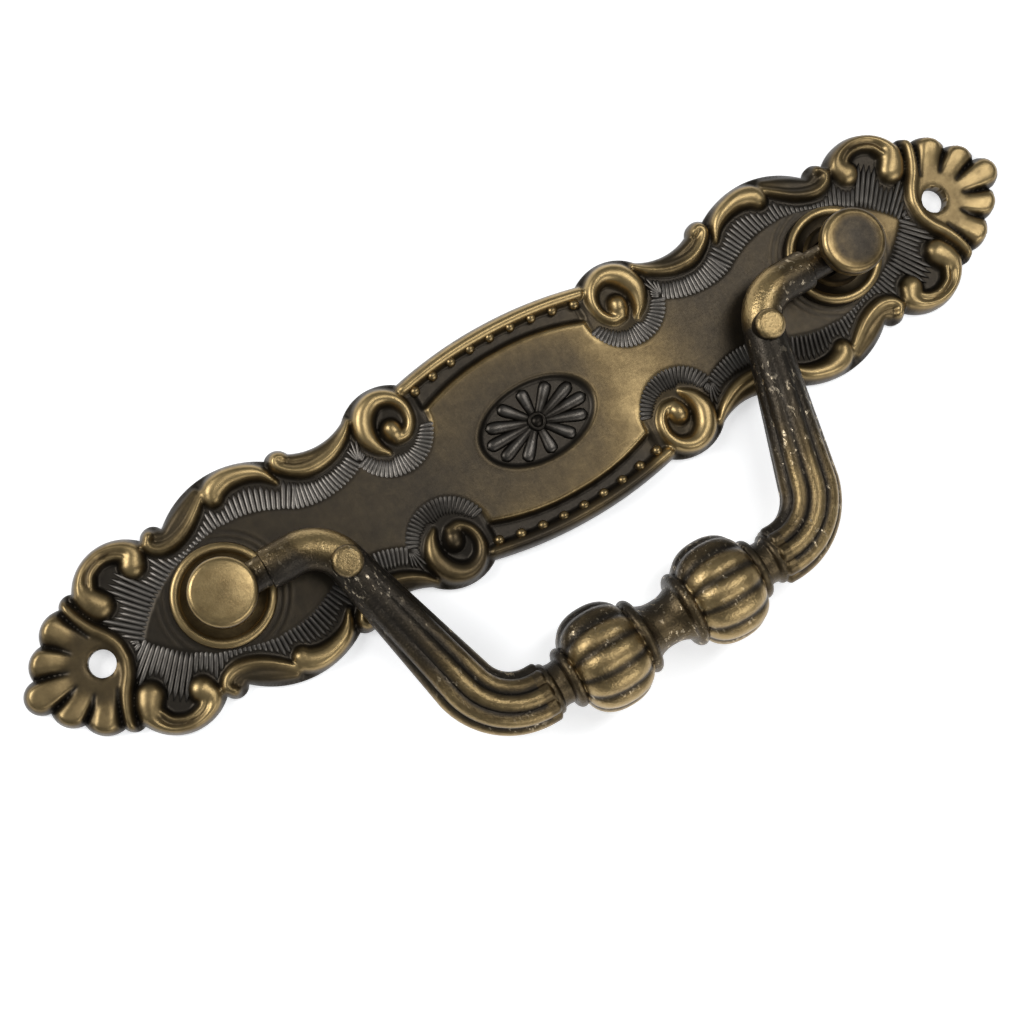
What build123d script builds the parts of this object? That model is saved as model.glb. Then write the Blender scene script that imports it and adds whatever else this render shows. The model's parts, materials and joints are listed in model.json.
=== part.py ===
from build123d import *
from math import cos, pi, radians, sin, tan
import os

# Drawer pull: a scroll-edged backplate, two riveted posts on dished collars, and a swinging bail handle

# Backplate, lying on the drawer front at z = 0
plate_length = 149.6
plate_width = 29.6
ground_height = 1.3
panel_height = 2.3
panel_slope = 40
crest_height = 2.8
sheet_thickness = 0.8
pocket_wall = 1.5
hole_spacing = 128.0
hole_diameter = 3.6

# Relief on the backplate
ridge_width = 2.0
fine_ridge_width = 1.5
tail_width = 0.8
volute_eye_width = 3.0
curl_width = 2.2
comma_width = 3.0
scroll_bulb_width = 3.0
leaf_width = 3.2
crown_share = 0.4
relief_embed = 0.1
band_bend_radius = 2.4
stud_sides = 6
border_bead_radius = 0.75
border_bead_height = 0.7
border_bead_pitch = 3.05
border_beads_each_side = 4
rosette_half_length = 8.4
rosette_half_width = 5.3
rosette_depth = 0.7
rosette_boss_radius = 1.1
petal_count = 12
petal_width = 1.1
petal_root_width = 0.55
petal_height = 0.5
petal_margin = 0.6

# Posts and collars
post_spacing = 93.4
head_diameter = 8.8
head_height = 2.5
head_chamfer = 0.7
neck_diameter = 7.4
head_gap = 0.4
rivet_diameter = 3.2
rivet_clearance = 0.1
rivet_head_diameter = 4.8
rivet_head_height = 0.6
collar_diameter = 13.6
collar_height = 1.8
collar_floor = 0.8
collar_crown_width = 0.6
collar_clearance = 0.3
collar_sides = 24

# Bail handle
bead_diameter = 14.4
bead_length = 9.2
bead_end_diameter = 8.8
bead_centre = 8.7
bead_lobes = 12
bead_flute_depth = 0.7
lobe_crown_share = 0.4
front_clearance = 0.3
bail_reach = 30.8
arm_lean = 14.2
bar_diameter = 5.4
bar_run = 8.2
elbow_radius = 5.5
bend_radius = 8.0
bend_facets = 3
arm_end_diameter = 8.2
arm_reeds = 9
reed_depth = 0.5
pin_diameter = 4.2
pin_clearance = 0.08
pin_shoulder = 2.0
pin_depth = 3.0
pin_end_gap = 0.4
side_gap = 0.3
peg_diameter = 4.2
peg_rise = 1.3
spool_diameter = 6.6
inner_collar_diameter = 10.4
outer_collar_diameter = 8.4
bead_collar_width = 1.3
outer_neck_diameter = 6.0
arm_ring_diameter = 7.2
arm_ring_width = 1.2
turned_step = 0.3

# Size at which the ornament is drawn: the drawing stretches with the plate
DRAWN_LENGTH = 149.6
DRAWN_WIDTH = 29.6

# Outline of one quarter of the plate: border, volute, scrolled lobes and shell end, as arcs
# that start on the short axis, each with a point on it and its end
OUTLINE_START = (0, 14.8)
OUTLINE_ARCS = [
    ((7.0, 14.4), (13.8, 13.2)),
    ((18.3, 14.4), (22.6, 12.3)),
    ((27.2, 11.2), (30.7, 12.1)),
    ((32.2, 13.3), (33.8, 12.7)),
    ((40.4, 14.75), (49.4, 11.4)),
    ((51.0, 12.4), (52.5, 11.4)),
    ((57.6, 13.3), (63.2, 9.6)),
    ((64.4, 9.7), (65.5, 8.6)),
    ((68.3, 8.0), (69.6, 5.7)),
    ((71.8, 4.7), (72.5, 2.3)),
    ((74.13, 1.63), (74.8, 0)),
]

# Outline of one quarter of the raised panel: wide middle, waist round the volute, pointed tongue
PANEL_START = (0, 10.9)
PANEL_ARCS = [
    ((6.5, 10.35), (12.5, 8.6)),
    ((17.6, 2.5), (23.2, 6.4)),
    ((28.2, 4.8), (33.2, 5.4)),
    ((40.4, 8.1), (47.5, 7.6)),
    ((53.5, 4.6), (58.3, 0)),
]

# Strokes of the ornament on one quarter of the plate, and those that cross its axes
VOLUTE = [(19.6, 6.3), (20.9, 9.8), (18.2, 12.7), (15.0, 9.8), (17.2, 8.0)]
VALLEY_RIDGE = [(21.9, 11.4), (26.6, 9.2), (31.4, 9.7), (32.2, 12.0)]
COMMA = [(34.8, 11.2), (38.0, 12.8), (41.2, 12.0)]
LOBE_RIDGE = [(42.9, 12.8), (46.3, 10.0), (50.4, 9.0), (51.1, 11.0)]
END_SCROLL = [(54.3, 9.3), (54.9, 11.2), (56.6, 12.0), (61.2, 10.6), (61.2, 7.2)]
SIDE_LEAVES = [((66.4, 2.4), (70.6, 4.2)), ((65.2, 4.2), (67.5, 6.8))]
MIDDLE_LEAF = ((67.6, 0), (72.7, 0))
HOLE_BAND = [(64.6, 8.8), (63.9, 5.2), (61.1, 2.4)]
BORDER_RIM = [(-13.0, 12.6), (0, 14.0), (13.0, 12.6)]
BEAD_ROW = [(-12.2, 11.4), (0, 12.9), (12.2, 11.4)]

# Swell of a melon bead: share of its half length from the middle, and share of its rise
BEAD_PROFILE = [(-1, 0), (-0.78, 0.66), (-0.32, 1), (0.32, 1), (0.78, 0.66), (1, 0)]

# Places worked out from the sizes above
hole_x = hole_spacing / 2
post_x = post_spacing / 2
pivot_z = bead_diameter / 2 + front_clearance
seat_z = panel_height
shoulder_z = seat_z + collar_floor
pocket_depth = panel_height - rosette_depth - sheet_thickness
rivet_hole_radius = rivet_diameter / 2 + rivet_clearance
pin_hole_radius = pin_diameter / 2 + pin_clearance
head_z = pivot_z + pin_hole_radius + head_gap
relief_root = ground_height - relief_embed


def spot(x, y):
    """Point of the ornament, drawn on one quarter of the plate."""
    return (x * plate_length / DRAWN_LENGTH, y * plate_width / DRAWN_WIDTH)


def four_ways(shape):
    """The shape and its mirror images in the plate's two axes."""
    pair = [shape, mirror(shape, Plane.YZ)]
    return pair + [mirror(each, Plane.XZ) for each in pair]


def whole_face(quarter):
    """Full outline from its quarter."""
    copies = four_ways(quarter)
    face = copies[0]
    for other in copies[1:]:
        face += other
    return face


def round_outline(start, arcs):
    """Full outline of the plate or panel, with its arcs."""
    edges = []
    here = spot(*start)
    for middle, end in arcs:
        edges.append(ThreePointArc(here, spot(*middle), spot(*end)))
        here = spot(*end)
    edges.append(Line(here, (0, 0)))
    edges.append(Line((0, 0), edges[0] @ 0))
    return whole_face(make_face(edges))


def straight_outline(start, arcs):
    """The same outline with straight sides between the points of its arcs."""
    points = [(0, 0), spot(*start)]
    for middle, end in arcs:
        points += [spot(*middle), spot(*end)]
    return whole_face(make_face(Polyline(*points, close=True)))


def smooth_path(start, middle, *ends):
    """Path of tangent arcs: the first through three points, each other one carrying on to its end."""
    points = [spot(*end) for end in ends]
    arcs = [ThreePointArc(spot(*start), spot(*middle), points[0])]
    for end in points[1:]:
        arcs.append(TangentArc(arcs[-1] @ 1, end, tangent=arcs[-1] % 1))
    return Wire(arcs)


def skin(rings):
    """Solid of flat faces through rings that have the same number of corners."""
    faces = [Face(Wire.make_polygon(rings[0])), Face(Wire.make_polygon(rings[-1]))]
    for low, high in zip(rings, rings[1:]):
        for here in range(len(low)):
            before = here - 1
            faces.append(Face(Wire.make_polygon([low[before], low[here], high[here]])))
            faces.append(Face(Wire.make_polygon([low[before], high[here], high[before]])))
    return Solid(Shell(faces))


def stroke(path, widths, facets, root, crest):
    """Ridge along a flat path, with sloping sides, and widths spread evenly along it."""
    left, right = [], []
    for step in range(facets + 1):
        share = step / facets
        place = share * (len(widths) - 1)
        low = min(int(place), len(widths) - 2)
        width = widths[low] + (widths[low + 1] - widths[low]) * (place - low)
        tangent = path % share
        normal = Vector(-tangent.Y, tangent.X) * (width / 2)
        left.append((path @ share, normal))
        right.append((path @ share, normal * -1))
    start_cap = (path @ 0, (path % 0) * (-widths[0] / 2))
    end_cap = (path @ 1, (path % 1) * (widths[-1] / 2))
    rim = left + [end_cap] + right[::-1] + [start_cap]
    rings = []
    for height, share in ((root, 1.0), (crest, crown_share)):
        corners = [point + aside * share for point, aside in rim]
        rings.append([(corner.X, corner.Y, height) for corner in corners])
    return skin(rings)


def quarter_relief():
    """Scrolls and side leaves of one quarter of the plate."""
    ridge = (tail_width, fine_ridge_width, fine_ridge_width, fine_ridge_width, curl_width)
    curl = (tail_width, ridge_width, ridge_width, fine_ridge_width, volute_eye_width)
    scroll = (scroll_bulb_width, ridge_width, ridge_width, ridge_width, scroll_bulb_width)
    pieces = [
        raised(smooth_path(*VOLUTE), curl, facets=8),
        raised(smooth_path(*VALLEY_RIDGE), ridge, facets=5),
        raised(smooth_path(*COMMA), (tail_width, ridge_width, comma_width), facets=3),
        raised(smooth_path(*LOBE_RIDGE), ridge, facets=5),
        raised(smooth_path(*END_SCROLL), scroll, facets=6),
    ]
    return pieces + [leaf(*ends) for ends in SIDE_LEAVES]


def leaf(root, tip):
    """Straight leaf of a shell, widening to its tip."""
    return raised(Wire([Line(spot(*root), spot(*tip))]), (tail_width, leaf_width), facets=1)


def raised(path, widths, facets):
    """Stroke that stands on the sunk ground of the plate."""
    return stroke(path, widths, facets, relief_root, crest_height)


def shell_end():
    """What crosses the long axis at one end: the shell's middle leaf and the band round the screw hole."""
    edge = [spot(*point) for point in HOLE_BAND]
    corners = edge + [(x, -y) for x, y in reversed(edge)]
    band = Wire(FilletPolyline(*corners, radius=band_bend_radius).edges())
    return [leaf(*MIDDLE_LEAF), raised(band, (fine_ridge_width, fine_ridge_width), facets=8)]


def stud(place, radius, root, crest):
    """Bead with sloping flat sides."""
    rings = []
    for height, reach in ((root, radius), (crest, radius * crown_share)):
        angles = [2 * pi * step / stud_sides for step in range(stud_sides)]
        rings.append([(place.X + reach * cos(a), place.Y + reach * sin(a), height) for a in angles])
    return skin(rings)


def border():
    """Rim and row of beads along one long edge of the middle."""
    rim = smooth_path(*BORDER_RIM)
    pieces = [raised(rim, (fine_ridge_width, fine_ridge_width), facets=5)]
    row = smooth_path(*BEAD_ROW)
    for step in range(-border_beads_each_side, border_beads_each_side + 1):
        place = row @ (0.5 + step * border_bead_pitch / row.length)
        pieces.append(stud(place, border_bead_radius, relief_root, ground_height + border_bead_height))
    return pieces


def rosette():
    """Petals and middle boss, standing on the floor of the oval recess."""
    floor = panel_height - rosette_depth
    root = floor - relief_embed
    crest = floor + petal_height
    base = rosette_boss_radius / 2
    pieces = [stud(Vector(0, 0), rosette_boss_radius, root, crest)]
    for step in range(petal_count):
        angle = 2 * pi * step / petal_count
        reach = Vector((rosette_half_length - petal_margin) * cos(angle),
                       (rosette_half_width - petal_margin) * sin(angle))
        outward = reach.normalized()
        petal = Wire([Line(outward * base, reach - outward * (petal_width / 2))])
        pieces.append(stroke(petal, (petal_root_width, petal_width), facets=1, root=root, crest=crest))
    return pieces


def make_backplate():
    outline = round_outline(OUTLINE_START, OUTLINE_ARCS)
    panel_face = round_outline(PANEL_START, PANEL_ARCS)
    rosette_face = Ellipse(rosette_half_length, rosette_half_width)
    slab = extrude(outline, ground_height)
    panel_block = extrude(panel_face, panel_height - relief_root, taper=panel_slope)
    panel = Pos(0, 0, relief_root) * mirror(panel_block, Plane.XY)
    relief = []
    for piece in quarter_relief():
        relief += four_ways(piece)
    for piece in shell_end():
        relief += [piece, mirror(piece, Plane.YZ)]
    for piece in border():
        relief += [piece, mirror(piece, Plane.XZ)]
    plate = slab + panel + relief
    plate -= Pos(0, 0, panel_height - rosette_depth) * extrude(rosette_face, rosette_depth)
    plate += rosette()

    pocket_face = offset(straight_outline(PANEL_START, PANEL_ARCS), -pocket_wall, kind=Kind.TANGENT)
    plate -= extrude(pocket_face, pocket_depth)
    for side in (1, -1):
        plate -= Pos(side * hole_x, 0, 0) * extrude(Circle(hole_diameter / 2), crest_height)
        plate -= Pos(side * post_x, 0, 0) * extrude(Circle(rivet_hole_radius), panel_height)
    return plate


def faceted(profile):
    """Round solid on the z axis with flat sides, through (radius, height) points from the bottom up."""
    rings = []
    angles = [2 * pi * step / collar_sides for step in range(collar_sides)]
    for radius, height in profile:
        rings.append([(radius * cos(a), radius * sin(a), height) for a in angles])
    return skin(rings)


def make_collar(side):
    """Dished washer clamped under the shoulder of a post."""
    outer = collar_diameter / 2
    seat = neck_diameter / 2 + collar_clearance
    crown = (outer + seat) / 2
    top = seat_z + collar_height
    half_crown = collar_crown_width / 2
    collar = faceted([(outer, seat_z), (outer, shoulder_z), (crown + half_crown, top)])
    collar -= faceted([(seat, shoulder_z), (crown - half_crown, top)])
    collar -= Pos(0, 0, seat_z) * extrude(Circle(rivet_hole_radius), collar_height)
    return Pos(side * post_x, 0, 0) * collar


def turned(points):
    """Solid of revolution about the z axis from a closed profile of (radius, height) points."""
    face = make_face(Polyline(*[(radius, 0, height) for radius, height in points], close=True))
    return revolve(face, Axis.Z)


def make_post(side):
    """Turned post: riveted tail, neck with a blind hole for the bail's pin, and head."""
    rivet = rivet_diameter / 2
    peen = rivet_head_diameter / 2
    neck = neck_diameter / 2
    head = head_diameter / 2
    top = head_z + head_height
    post = turned([
        (0, pocket_depth - rivet_head_height), (peen, pocket_depth - rivet_head_height),
        (peen, pocket_depth), (rivet, pocket_depth), (rivet, shoulder_z), (neck, shoulder_z),
        (neck, head_z), (head, head_z), (head, top - head_chamfer), (head - head_chamfer, top), (0, top),
    ])
    post -= Plane(origin=(-neck, 0, pivot_z), z_dir=(1, 0, 0)) * extrude(
        Circle(pin_hole_radius), pin_depth + pin_end_gap)
    if side < 0:
        post = mirror(post, Plane.YZ)
    return Pos(side * post_x, 0, 0) * post


def lobed(plane, radius, depth, lobes):
    """Corners of a round section with shallow flutes, three corners to a lobe."""
    half_crown = lobe_crown_share / 2
    corners = []
    for step in range(lobes):
        for place, reach in ((-1 / 2, radius - depth), (-half_crown, radius), (half_crown, radius)):
            angle = 2 * pi * (step + place) / lobes
            corners.append(plane.from_local_coords(Vector(reach * cos(angle), reach * sin(angle))))
    return corners


def across(x, y=0):
    """Plane square to the x axis."""
    return Plane(origin=(x, y, 0), x_dir=(0, 1, 0), z_dir=(1, 0, 0))


def make_grip_half(arm_end):
    """Right half of the grip, from the middle of the spool to the arm: rings, necks and melon bead."""
    bead_in = bead_centre - bead_length / 2
    bead_out = bead_centre + bead_length / 2
    collar_in = bead_in - bead_collar_width
    collar_out = bead_out + bead_collar_width
    end = bead_end_diameter / 2
    swell = bead_diameter / 2 - end
    step = turned_step
    bead = []
    for along, rise in BEAD_PROFILE:
        depth = bead_flute_depth * (1 + rise) / 2
        bead.append((bead_centre + along * bead_length / 2, end + swell * rise, depth))
    profile = [
        (0, spool_diameter / 2, 0),
        (collar_in - 2 * step, spool_diameter / 2, 0),
        (collar_in + step, inner_collar_diameter / 2, 0),
        (bead_in - step, inner_collar_diameter / 2, 0),
        *bead,
        (bead_out + step, outer_collar_diameter / 2, 0),
        (collar_out - step, outer_collar_diameter / 2, 0),
        (collar_out, outer_neck_diameter / 2, 0),
        (arm_end - arm_ring_width - step, outer_neck_diameter / 2, 0),
        (arm_end - arm_ring_width, arm_ring_diameter / 2, 0),
        (arm_end, arm_ring_diameter / 2, 0),
    ]
    return skin([lobed(across(x, -bail_reach), radius, depth, bead_lobes) for x, radius, depth in profile])


def make_bail_half():
    """Right half of the bail, in the plane of its swing axis, from the middle of the grip to the pin."""
    lean = radians(arm_lean)
    turn = pi / 2 - lean
    tangent_share = tan(turn / 2)
    down = Vector(-sin(lean), -cos(lean))
    shoulder_x = post_x - neck_diameter / 2 - side_gap - pin_shoulder
    corner = Vector(shoulder_x - bar_run, 0)
    foot = corner + down * (bail_reach / cos(lean))
    elbow_centre = corner + Vector(elbow_radius * tangent_share, -elbow_radius)
    bend_centre = foot + Vector(-bend_radius * tangent_share, bend_radius)
    bar = bar_diameter / 2
    arm = arm_end_diameter / 2

    stations = [(Vector(shoulder_x, 0), Vector(-1, 0), bar, 0)]
    for step in range(bend_facets + 1):
        angle = turn * step / bend_facets
        out = Vector(-sin(angle), cos(angle))
        heading = Vector(-cos(angle), -sin(angle))
        stations.append((elbow_centre + out * elbow_radius, heading, bar, 0))
    for step in range(bend_facets + 1):
        angle = turn * (1 - step / bend_facets)
        out = Vector(sin(angle), -cos(angle))
        heading = Vector(-cos(angle), -sin(angle))
        stations.append((bend_centre + out * bend_radius, heading, arm, reed_depth))
    rings = []
    for place, heading, radius, depth in stations:
        plane = Plane(origin=(place.X, place.Y, 0), x_dir=(0, 0, 1), z_dir=(heading.X, heading.Y, 0))
        rings.append(lobed(plane, radius, depth, arm_reeds))
    half = skin(rings)

    peg_place = elbow_centre + Vector(-sin(turn), cos(turn)) * elbow_radius
    half += Pos(peg_place.X, peg_place.Y, 0) * extrude(Circle(peg_diameter / 2), bar + peg_rise)
    pin_length = pin_shoulder + side_gap + pin_depth
    half += across(shoulder_x) * extrude(Circle(pin_diameter / 2), pin_length)
    return half + make_grip_half(bend_centre.X)


def make_bail():
    half = make_bail_half()
    return Pos(0, 0, pivot_z) * (half + mirror(half, Plane.YZ))


os.makedirs("parts", exist_ok=True)
parts = {
    "backplate": make_backplate(),
    "left_post": make_post(-1),
    "right_post": make_post(1),
    "left_collar": make_collar(-1),
    "right_collar": make_collar(1),
    "bail": make_bail(),
}
for name, shape in parts.items():
    export_step(shape, f"parts/{name}.step")
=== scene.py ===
"""Antique brass drawer pull: the looks of its plate, posts, collars and swinging bail."""

import json
from math import cos, pi, radians, sin, tan

import bmesh
import bpy
import numpy as np
from mathutils import Matrix, Vector
from mathutils.geometry import delaunay_2d_cdt


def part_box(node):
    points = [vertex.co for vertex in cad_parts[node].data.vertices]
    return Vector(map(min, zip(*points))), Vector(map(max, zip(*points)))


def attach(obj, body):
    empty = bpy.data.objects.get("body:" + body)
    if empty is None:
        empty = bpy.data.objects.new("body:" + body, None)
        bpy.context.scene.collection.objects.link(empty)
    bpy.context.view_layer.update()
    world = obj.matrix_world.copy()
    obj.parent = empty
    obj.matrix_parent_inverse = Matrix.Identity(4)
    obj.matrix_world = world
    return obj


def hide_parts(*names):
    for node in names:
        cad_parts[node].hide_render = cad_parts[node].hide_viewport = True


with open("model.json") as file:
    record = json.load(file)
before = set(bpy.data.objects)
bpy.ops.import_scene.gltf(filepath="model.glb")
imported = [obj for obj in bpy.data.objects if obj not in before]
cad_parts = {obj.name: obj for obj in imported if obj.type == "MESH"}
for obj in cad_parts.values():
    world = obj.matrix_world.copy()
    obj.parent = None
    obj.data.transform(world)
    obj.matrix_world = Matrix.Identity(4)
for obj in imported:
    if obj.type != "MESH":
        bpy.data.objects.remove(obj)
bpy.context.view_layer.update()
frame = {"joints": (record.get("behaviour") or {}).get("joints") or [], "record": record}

bl_info = {
    "name": "Antique Brass Drawer Pull",
    "version": (1, 0, 0),
    "blender": (4, 5, 0),
    "location": "3D View > Sidebar > Drawer Pull",
    "description": "Scroll-edged brass plate with riveted posts and a swinging bail",
    "category": "Add Mesh",
}

# Sizes are in millimetres, apart from the properties and what goes straight to Blender, which are in metres
MM = 0.001
HOLE_SIZES = frame["record"]["mounts"][0]["dims"]
SCREW_PITCH = HOLE_SIZES["spacing_x_mm"]
SCREW_RADIUS = HOLE_SIZES["hole_r_mm"]
POST_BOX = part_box("right_post")
POST_PLACE = float(POST_BOX[0][0] + POST_BOX[1][0]) / 2 / MM
PIVOT_HEIGHT = frame["joints"][0]["pos_m"][2] / MM

# The ground steps down from the panel, then falls by this much for each millimetre
GROUND_STEP = 0.22
GROUND_FALL = 0.18

# Wear runs from 0, dark patina, to 1, buffed; this is its value on faces that nothing rubs
HIDDEN_WEAR = 0.1

# Edges between faces that meet more sharply than this stay sharp
SHARP_ANGLE = radians(50)

# Outline of a quarter of the plate: its start on the short axis, then a point on each arc and the arc's end
OUTLINE_START = 0 + 14.8j
OUTLINE_ARCS = [
    (7.0 + 14.4j, 13.8 + 13.2j),
    (18.3 + 14.4j, 22.6 + 12.3j),
    (27.2 + 11.2j, 30.7 + 12.1j),
    (32.2 + 13.3j, 33.8 + 12.7j),
    (40.4 + 14.75j, 49.4 + 11.4j),
    (51.0 + 12.4j, 52.5 + 11.4j),
    (57.6 + 13.3j, 63.2 + 9.6j),
    (64.4 + 9.7j, 65.5 + 8.6j),
    (68.3 + 8.0j, 69.6 + 5.7j),
    (71.8 + 4.7j, 72.5 + 2.3j),
    (74.13 + 1.63j, 74.8 + 0j),
]

# Outline of a quarter of the raised panel, drawn in the same way
PANEL_START = 0 + 10.9j
PANEL_ARCS = [
    (6.5 + 10.35j, 12.5 + 8.6j),
    (17.6 + 2.5j, 23.2 + 6.4j),
    (28.2 + 4.8j, 33.2 + 5.4j),
    (40.4 + 8.1j, 47.5 + 7.6j),
    (53.5 + 4.6j, 58.3 + 0j),
]

# Hollow behind the panel, a quarter of it
POCKET = [0 + 9.4j, 6.3 + 8.8j, 11.6 + 6.9j, 17.5 + 1.0j, 23.3 + 4.8j, 28.2 + 3.3j, 33.0 + 3.9j,
          40.4 + 6.6j, 46.9 + 6.1j, 52.5 + 3.3j, 56.4 + 0j]

# Carved strokes of a quarter of the plate: x, y, width and crest height along each of them
VOLUTE = [
    (19.0, 5.7, 0.6, 2.2), (20.2, 7.2, 1.9, 2.6), (20.7, 9.4, 3.0, 2.9), (19.7, 11.7, 3.2, 3.0),
    (17.6, 12.8, 2.8, 3.0), (15.5, 12.0, 2.2, 2.9), (14.5, 10.2, 1.8, 2.8), (14.7, 8.2, 1.6, 2.7),
    (15.9, 6.9, 1.6, 2.6), (17.2, 7.0, 1.9, 2.6),
]
VOLUTE_EYE = [(17.3, 7.9, 2.8, 3.0), (17.4, 8.4, 2.8, 3.0)]
VALLEY_RIDGE = [
    (21.9, 12.0, 0.8, 2.2), (23.6, 10.4, 1.6, 2.6), (26.2, 9.2, 2.1, 2.8), (29.2, 9.0, 2.2, 2.8),
    (31.4, 9.9, 1.8, 2.8), (32.8, 11.4, 1.8, 2.8), (32.4, 12.4, 1.9, 2.8), (31.5, 12.1, 2.0, 2.8),
]
VALLEY_SLOPE = [
    (22.4, 12.2, 1.6, 1.9), (25.0, 11.0, 2.8, 2.2), (27.5, 10.5, 3.0, 2.2), (30.4, 11.2, 2.6, 2.2),
]
COMMA = [(33.8, 9.5, 0.7, 2.2), (35.0, 11.4, 1.9, 2.6), (36.8, 12.6, 2.8, 2.9), (39.2, 13.1, 3.4, 3.0),
         (41.2, 12.5, 3.4, 3.0), (41.8, 11.7, 3.0, 2.9)]
LOBE_RIDGE = [
    (42.4, 13.2, 0.8, 2.2), (44.4, 11.4, 1.6, 2.6), (46.8, 9.7, 2.1, 2.8), (49.3, 8.9, 2.2, 2.8),
    (51.2, 9.3, 1.9, 2.8), (52.0, 10.5, 1.9, 2.8), (51.4, 11.3, 2.0, 2.8),
]
LOBE_SLOPE = [
    (43.6, 13.2, 1.6, 1.9), (46.0, 11.7, 2.8, 2.2), (48.6, 10.5, 2.8, 2.2), (50.4, 10.6, 2.0, 2.1),
]
SCROLL_BED = [
    (54.6, 10.2, 2.4, 2.1), (56.2, 11.6, 2.6, 2.2), (58.4, 11.9, 2.6, 2.2), (60.4, 10.8, 2.6, 2.2),
    (61.5, 8.8, 2.6, 2.2),
]
SCROLL_OUTER = [
    (54.8, 9.0, 3.7, 2.9), (54.1, 10.5, 2.8, 2.8), (55.0, 11.9, 2.1, 2.8), (57.6, 12.6, 1.7, 2.8),
    (60.5, 11.7, 1.8, 2.8), (62.0, 9.6, 2.6, 2.9), (61.5, 7.7, 3.7, 3.0), (60.8, 6.5, 4.0, 2.9),
]
SCROLL_INNER = [
    (55.0, 10.0, 1.1, 2.6), (56.0, 11.0, 1.2, 2.7), (57.8, 11.3, 1.2, 2.7), (59.7, 10.5, 1.2, 2.7),
    (60.6, 9.0, 1.2, 2.7),
]
SHELL_BAND = [(64.9, 9.0, 1.6, 2.6), (64.2, 6.6, 1.9, 2.8), (63.2, 4.6, 1.9, 2.8), (61.9, 2.8, 1.9, 2.8),
              (61.2, 1.2, 1.9, 2.8), (61.1, 0.0, 1.9, 2.8)]
SHELL_AXIS = [(67.6, 0.0, 2.4, 2.2), (70.5, 0.0, 3.8, 2.6), (72.6, 0.0, 4.4, 2.7)]
SHELL_SECOND = [(67.0, 2.1, 2.2, 2.2), (69.3, 3.4, 3.5, 2.6), (70.6, 4.1, 4.0, 2.7)]
SHELL_THIRD = [(65.6, 4.0, 2.2, 2.2), (66.8, 6.0, 3.2, 2.6), (67.4, 6.9, 3.6, 2.7)]
BORDER_RIM = [(0.0, 13.8, 2.3, 2.7), (4.4, 13.65, 2.3, 2.7), (8.8, 13.2, 2.3, 2.7), (13.4, 12.35, 2.1, 2.6)]

# Each stroke with the roundness of its section and how far it is buffed
STROKES = [
    (VALLEY_SLOPE, 2.0, 0.5), (LOBE_SLOPE, 2.0, 0.5), (SCROLL_BED, 6.0, 0.35),
    (VOLUTE, 2.2, 0.95), (VOLUTE_EYE, 2.0, 0.85), (VALLEY_RIDGE, 2.0, 0.85), (COMMA, 2.2, 0.95),
    (LOBE_RIDGE, 2.0, 0.85), (SCROLL_OUTER, 2.2, 0.95), (SCROLL_INNER, 2.0, 0.8), (SHELL_BAND, 2.2, 0.9),
    (SHELL_AXIS, 4.0, 0.95), (SHELL_SECOND, 4.0, 0.95), (SHELL_THIRD, 4.0, 0.95), (BORDER_RIM, 2.6, 0.9),
]

# Cuts between the leaves of the shell: x, y, width and depth along each of them
SHELL_CUTS = [
    [(68.2, 1.0, 0.4, 0.2), (70.2, 1.7, 0.7, 0.8), (72.9, 2.4, 0.9, 1.0)],
    [(66.7, 3.0, 0.4, 0.2), (68.0, 4.4, 0.7, 0.8), (69.9, 5.9, 0.9, 1.0)],
    [(63.9, 3.8, 0.4, 0.3), (64.9, 6.2, 0.7, 0.8), (65.8, 8.8, 0.9, 1.0)],
]

# Places where the front is worn more or less, with painted shade mixed in, such as the darker lower border
# rim: middle, reach along x and y, and share of the wear left there
PATINA_AND_PAINTED_SHADE = [
    (16.0, 0.0, 7.0, 14.0, 2.5), (2.0, -4.0, 12.0, 6.0, 1.4), (-8.0, -13.6, 9.0, 2.6, 0.2),
    (8.0, -13.6, 9.0, 2.6, 0.2), (0.0, 13.8, 13.0, 2.5, 1.15), (-17.5, -9.5, 5.0, 5.0, 0.35),
    (-27.0, -10.5, 5.0, 3.0, 0.45), (-48.0, -11.0, 4.5, 3.0, 0.55), (-48.0, 10.5, 4.0, 3.0, 0.6),
    (47.5, 10.5, 4.5, 3.5, 0.35), (26.0, 9.8, 4.0, 3.0, 0.5), (56.0, 11.5, 4.0, 3.0, 0.65),
    (56.5, 0.5, 2.6, 3.6, 3.2), (-66.0, 0.0, 14.0, 16.0, 0.62), (68.0, 0.0, 8.0, 10.0, 0.88),
]

# The same for the rays, which are darkest below the panel, partly as painted shade
RAY_PATINA_AND_PAINTED_SHADE = [
    (-17.5, -6.0, 6.5, 5.0, 0.2), (17.5, -6.0, 6.5, 5.0, 0.2), (17.5, 6.0, 6.0, 5.0, 0.85),
    (36.0, -9.0, 12.0, 5.0, 0.4), (-38.0, -9.0, 12.0, 5.0, 0.5), (-56.0, -7.0, 7.0, 5.0, 0.6),
    (55.0, 0.0, 8.0, 12.0, 0.6), (44.0, 9.0, 8.0, 4.0, 0.65),
]

# Brown stains in the brass, and the pale colour of painted glints
STAIN_TONES = [(0.3, (0.55, 0.5, 0.45)), (0.7, (1.0, 1.0, 1.0))]
PAINTED_GLINT_COLOUR = (0.42, 0.39, 0.34)

# Share of the soot's brightness in the hollows of slate, and the depth of the brass's fine grain
SLATE_SHADOW = 0.6
BUMP_DEPTH = 0.08


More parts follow.
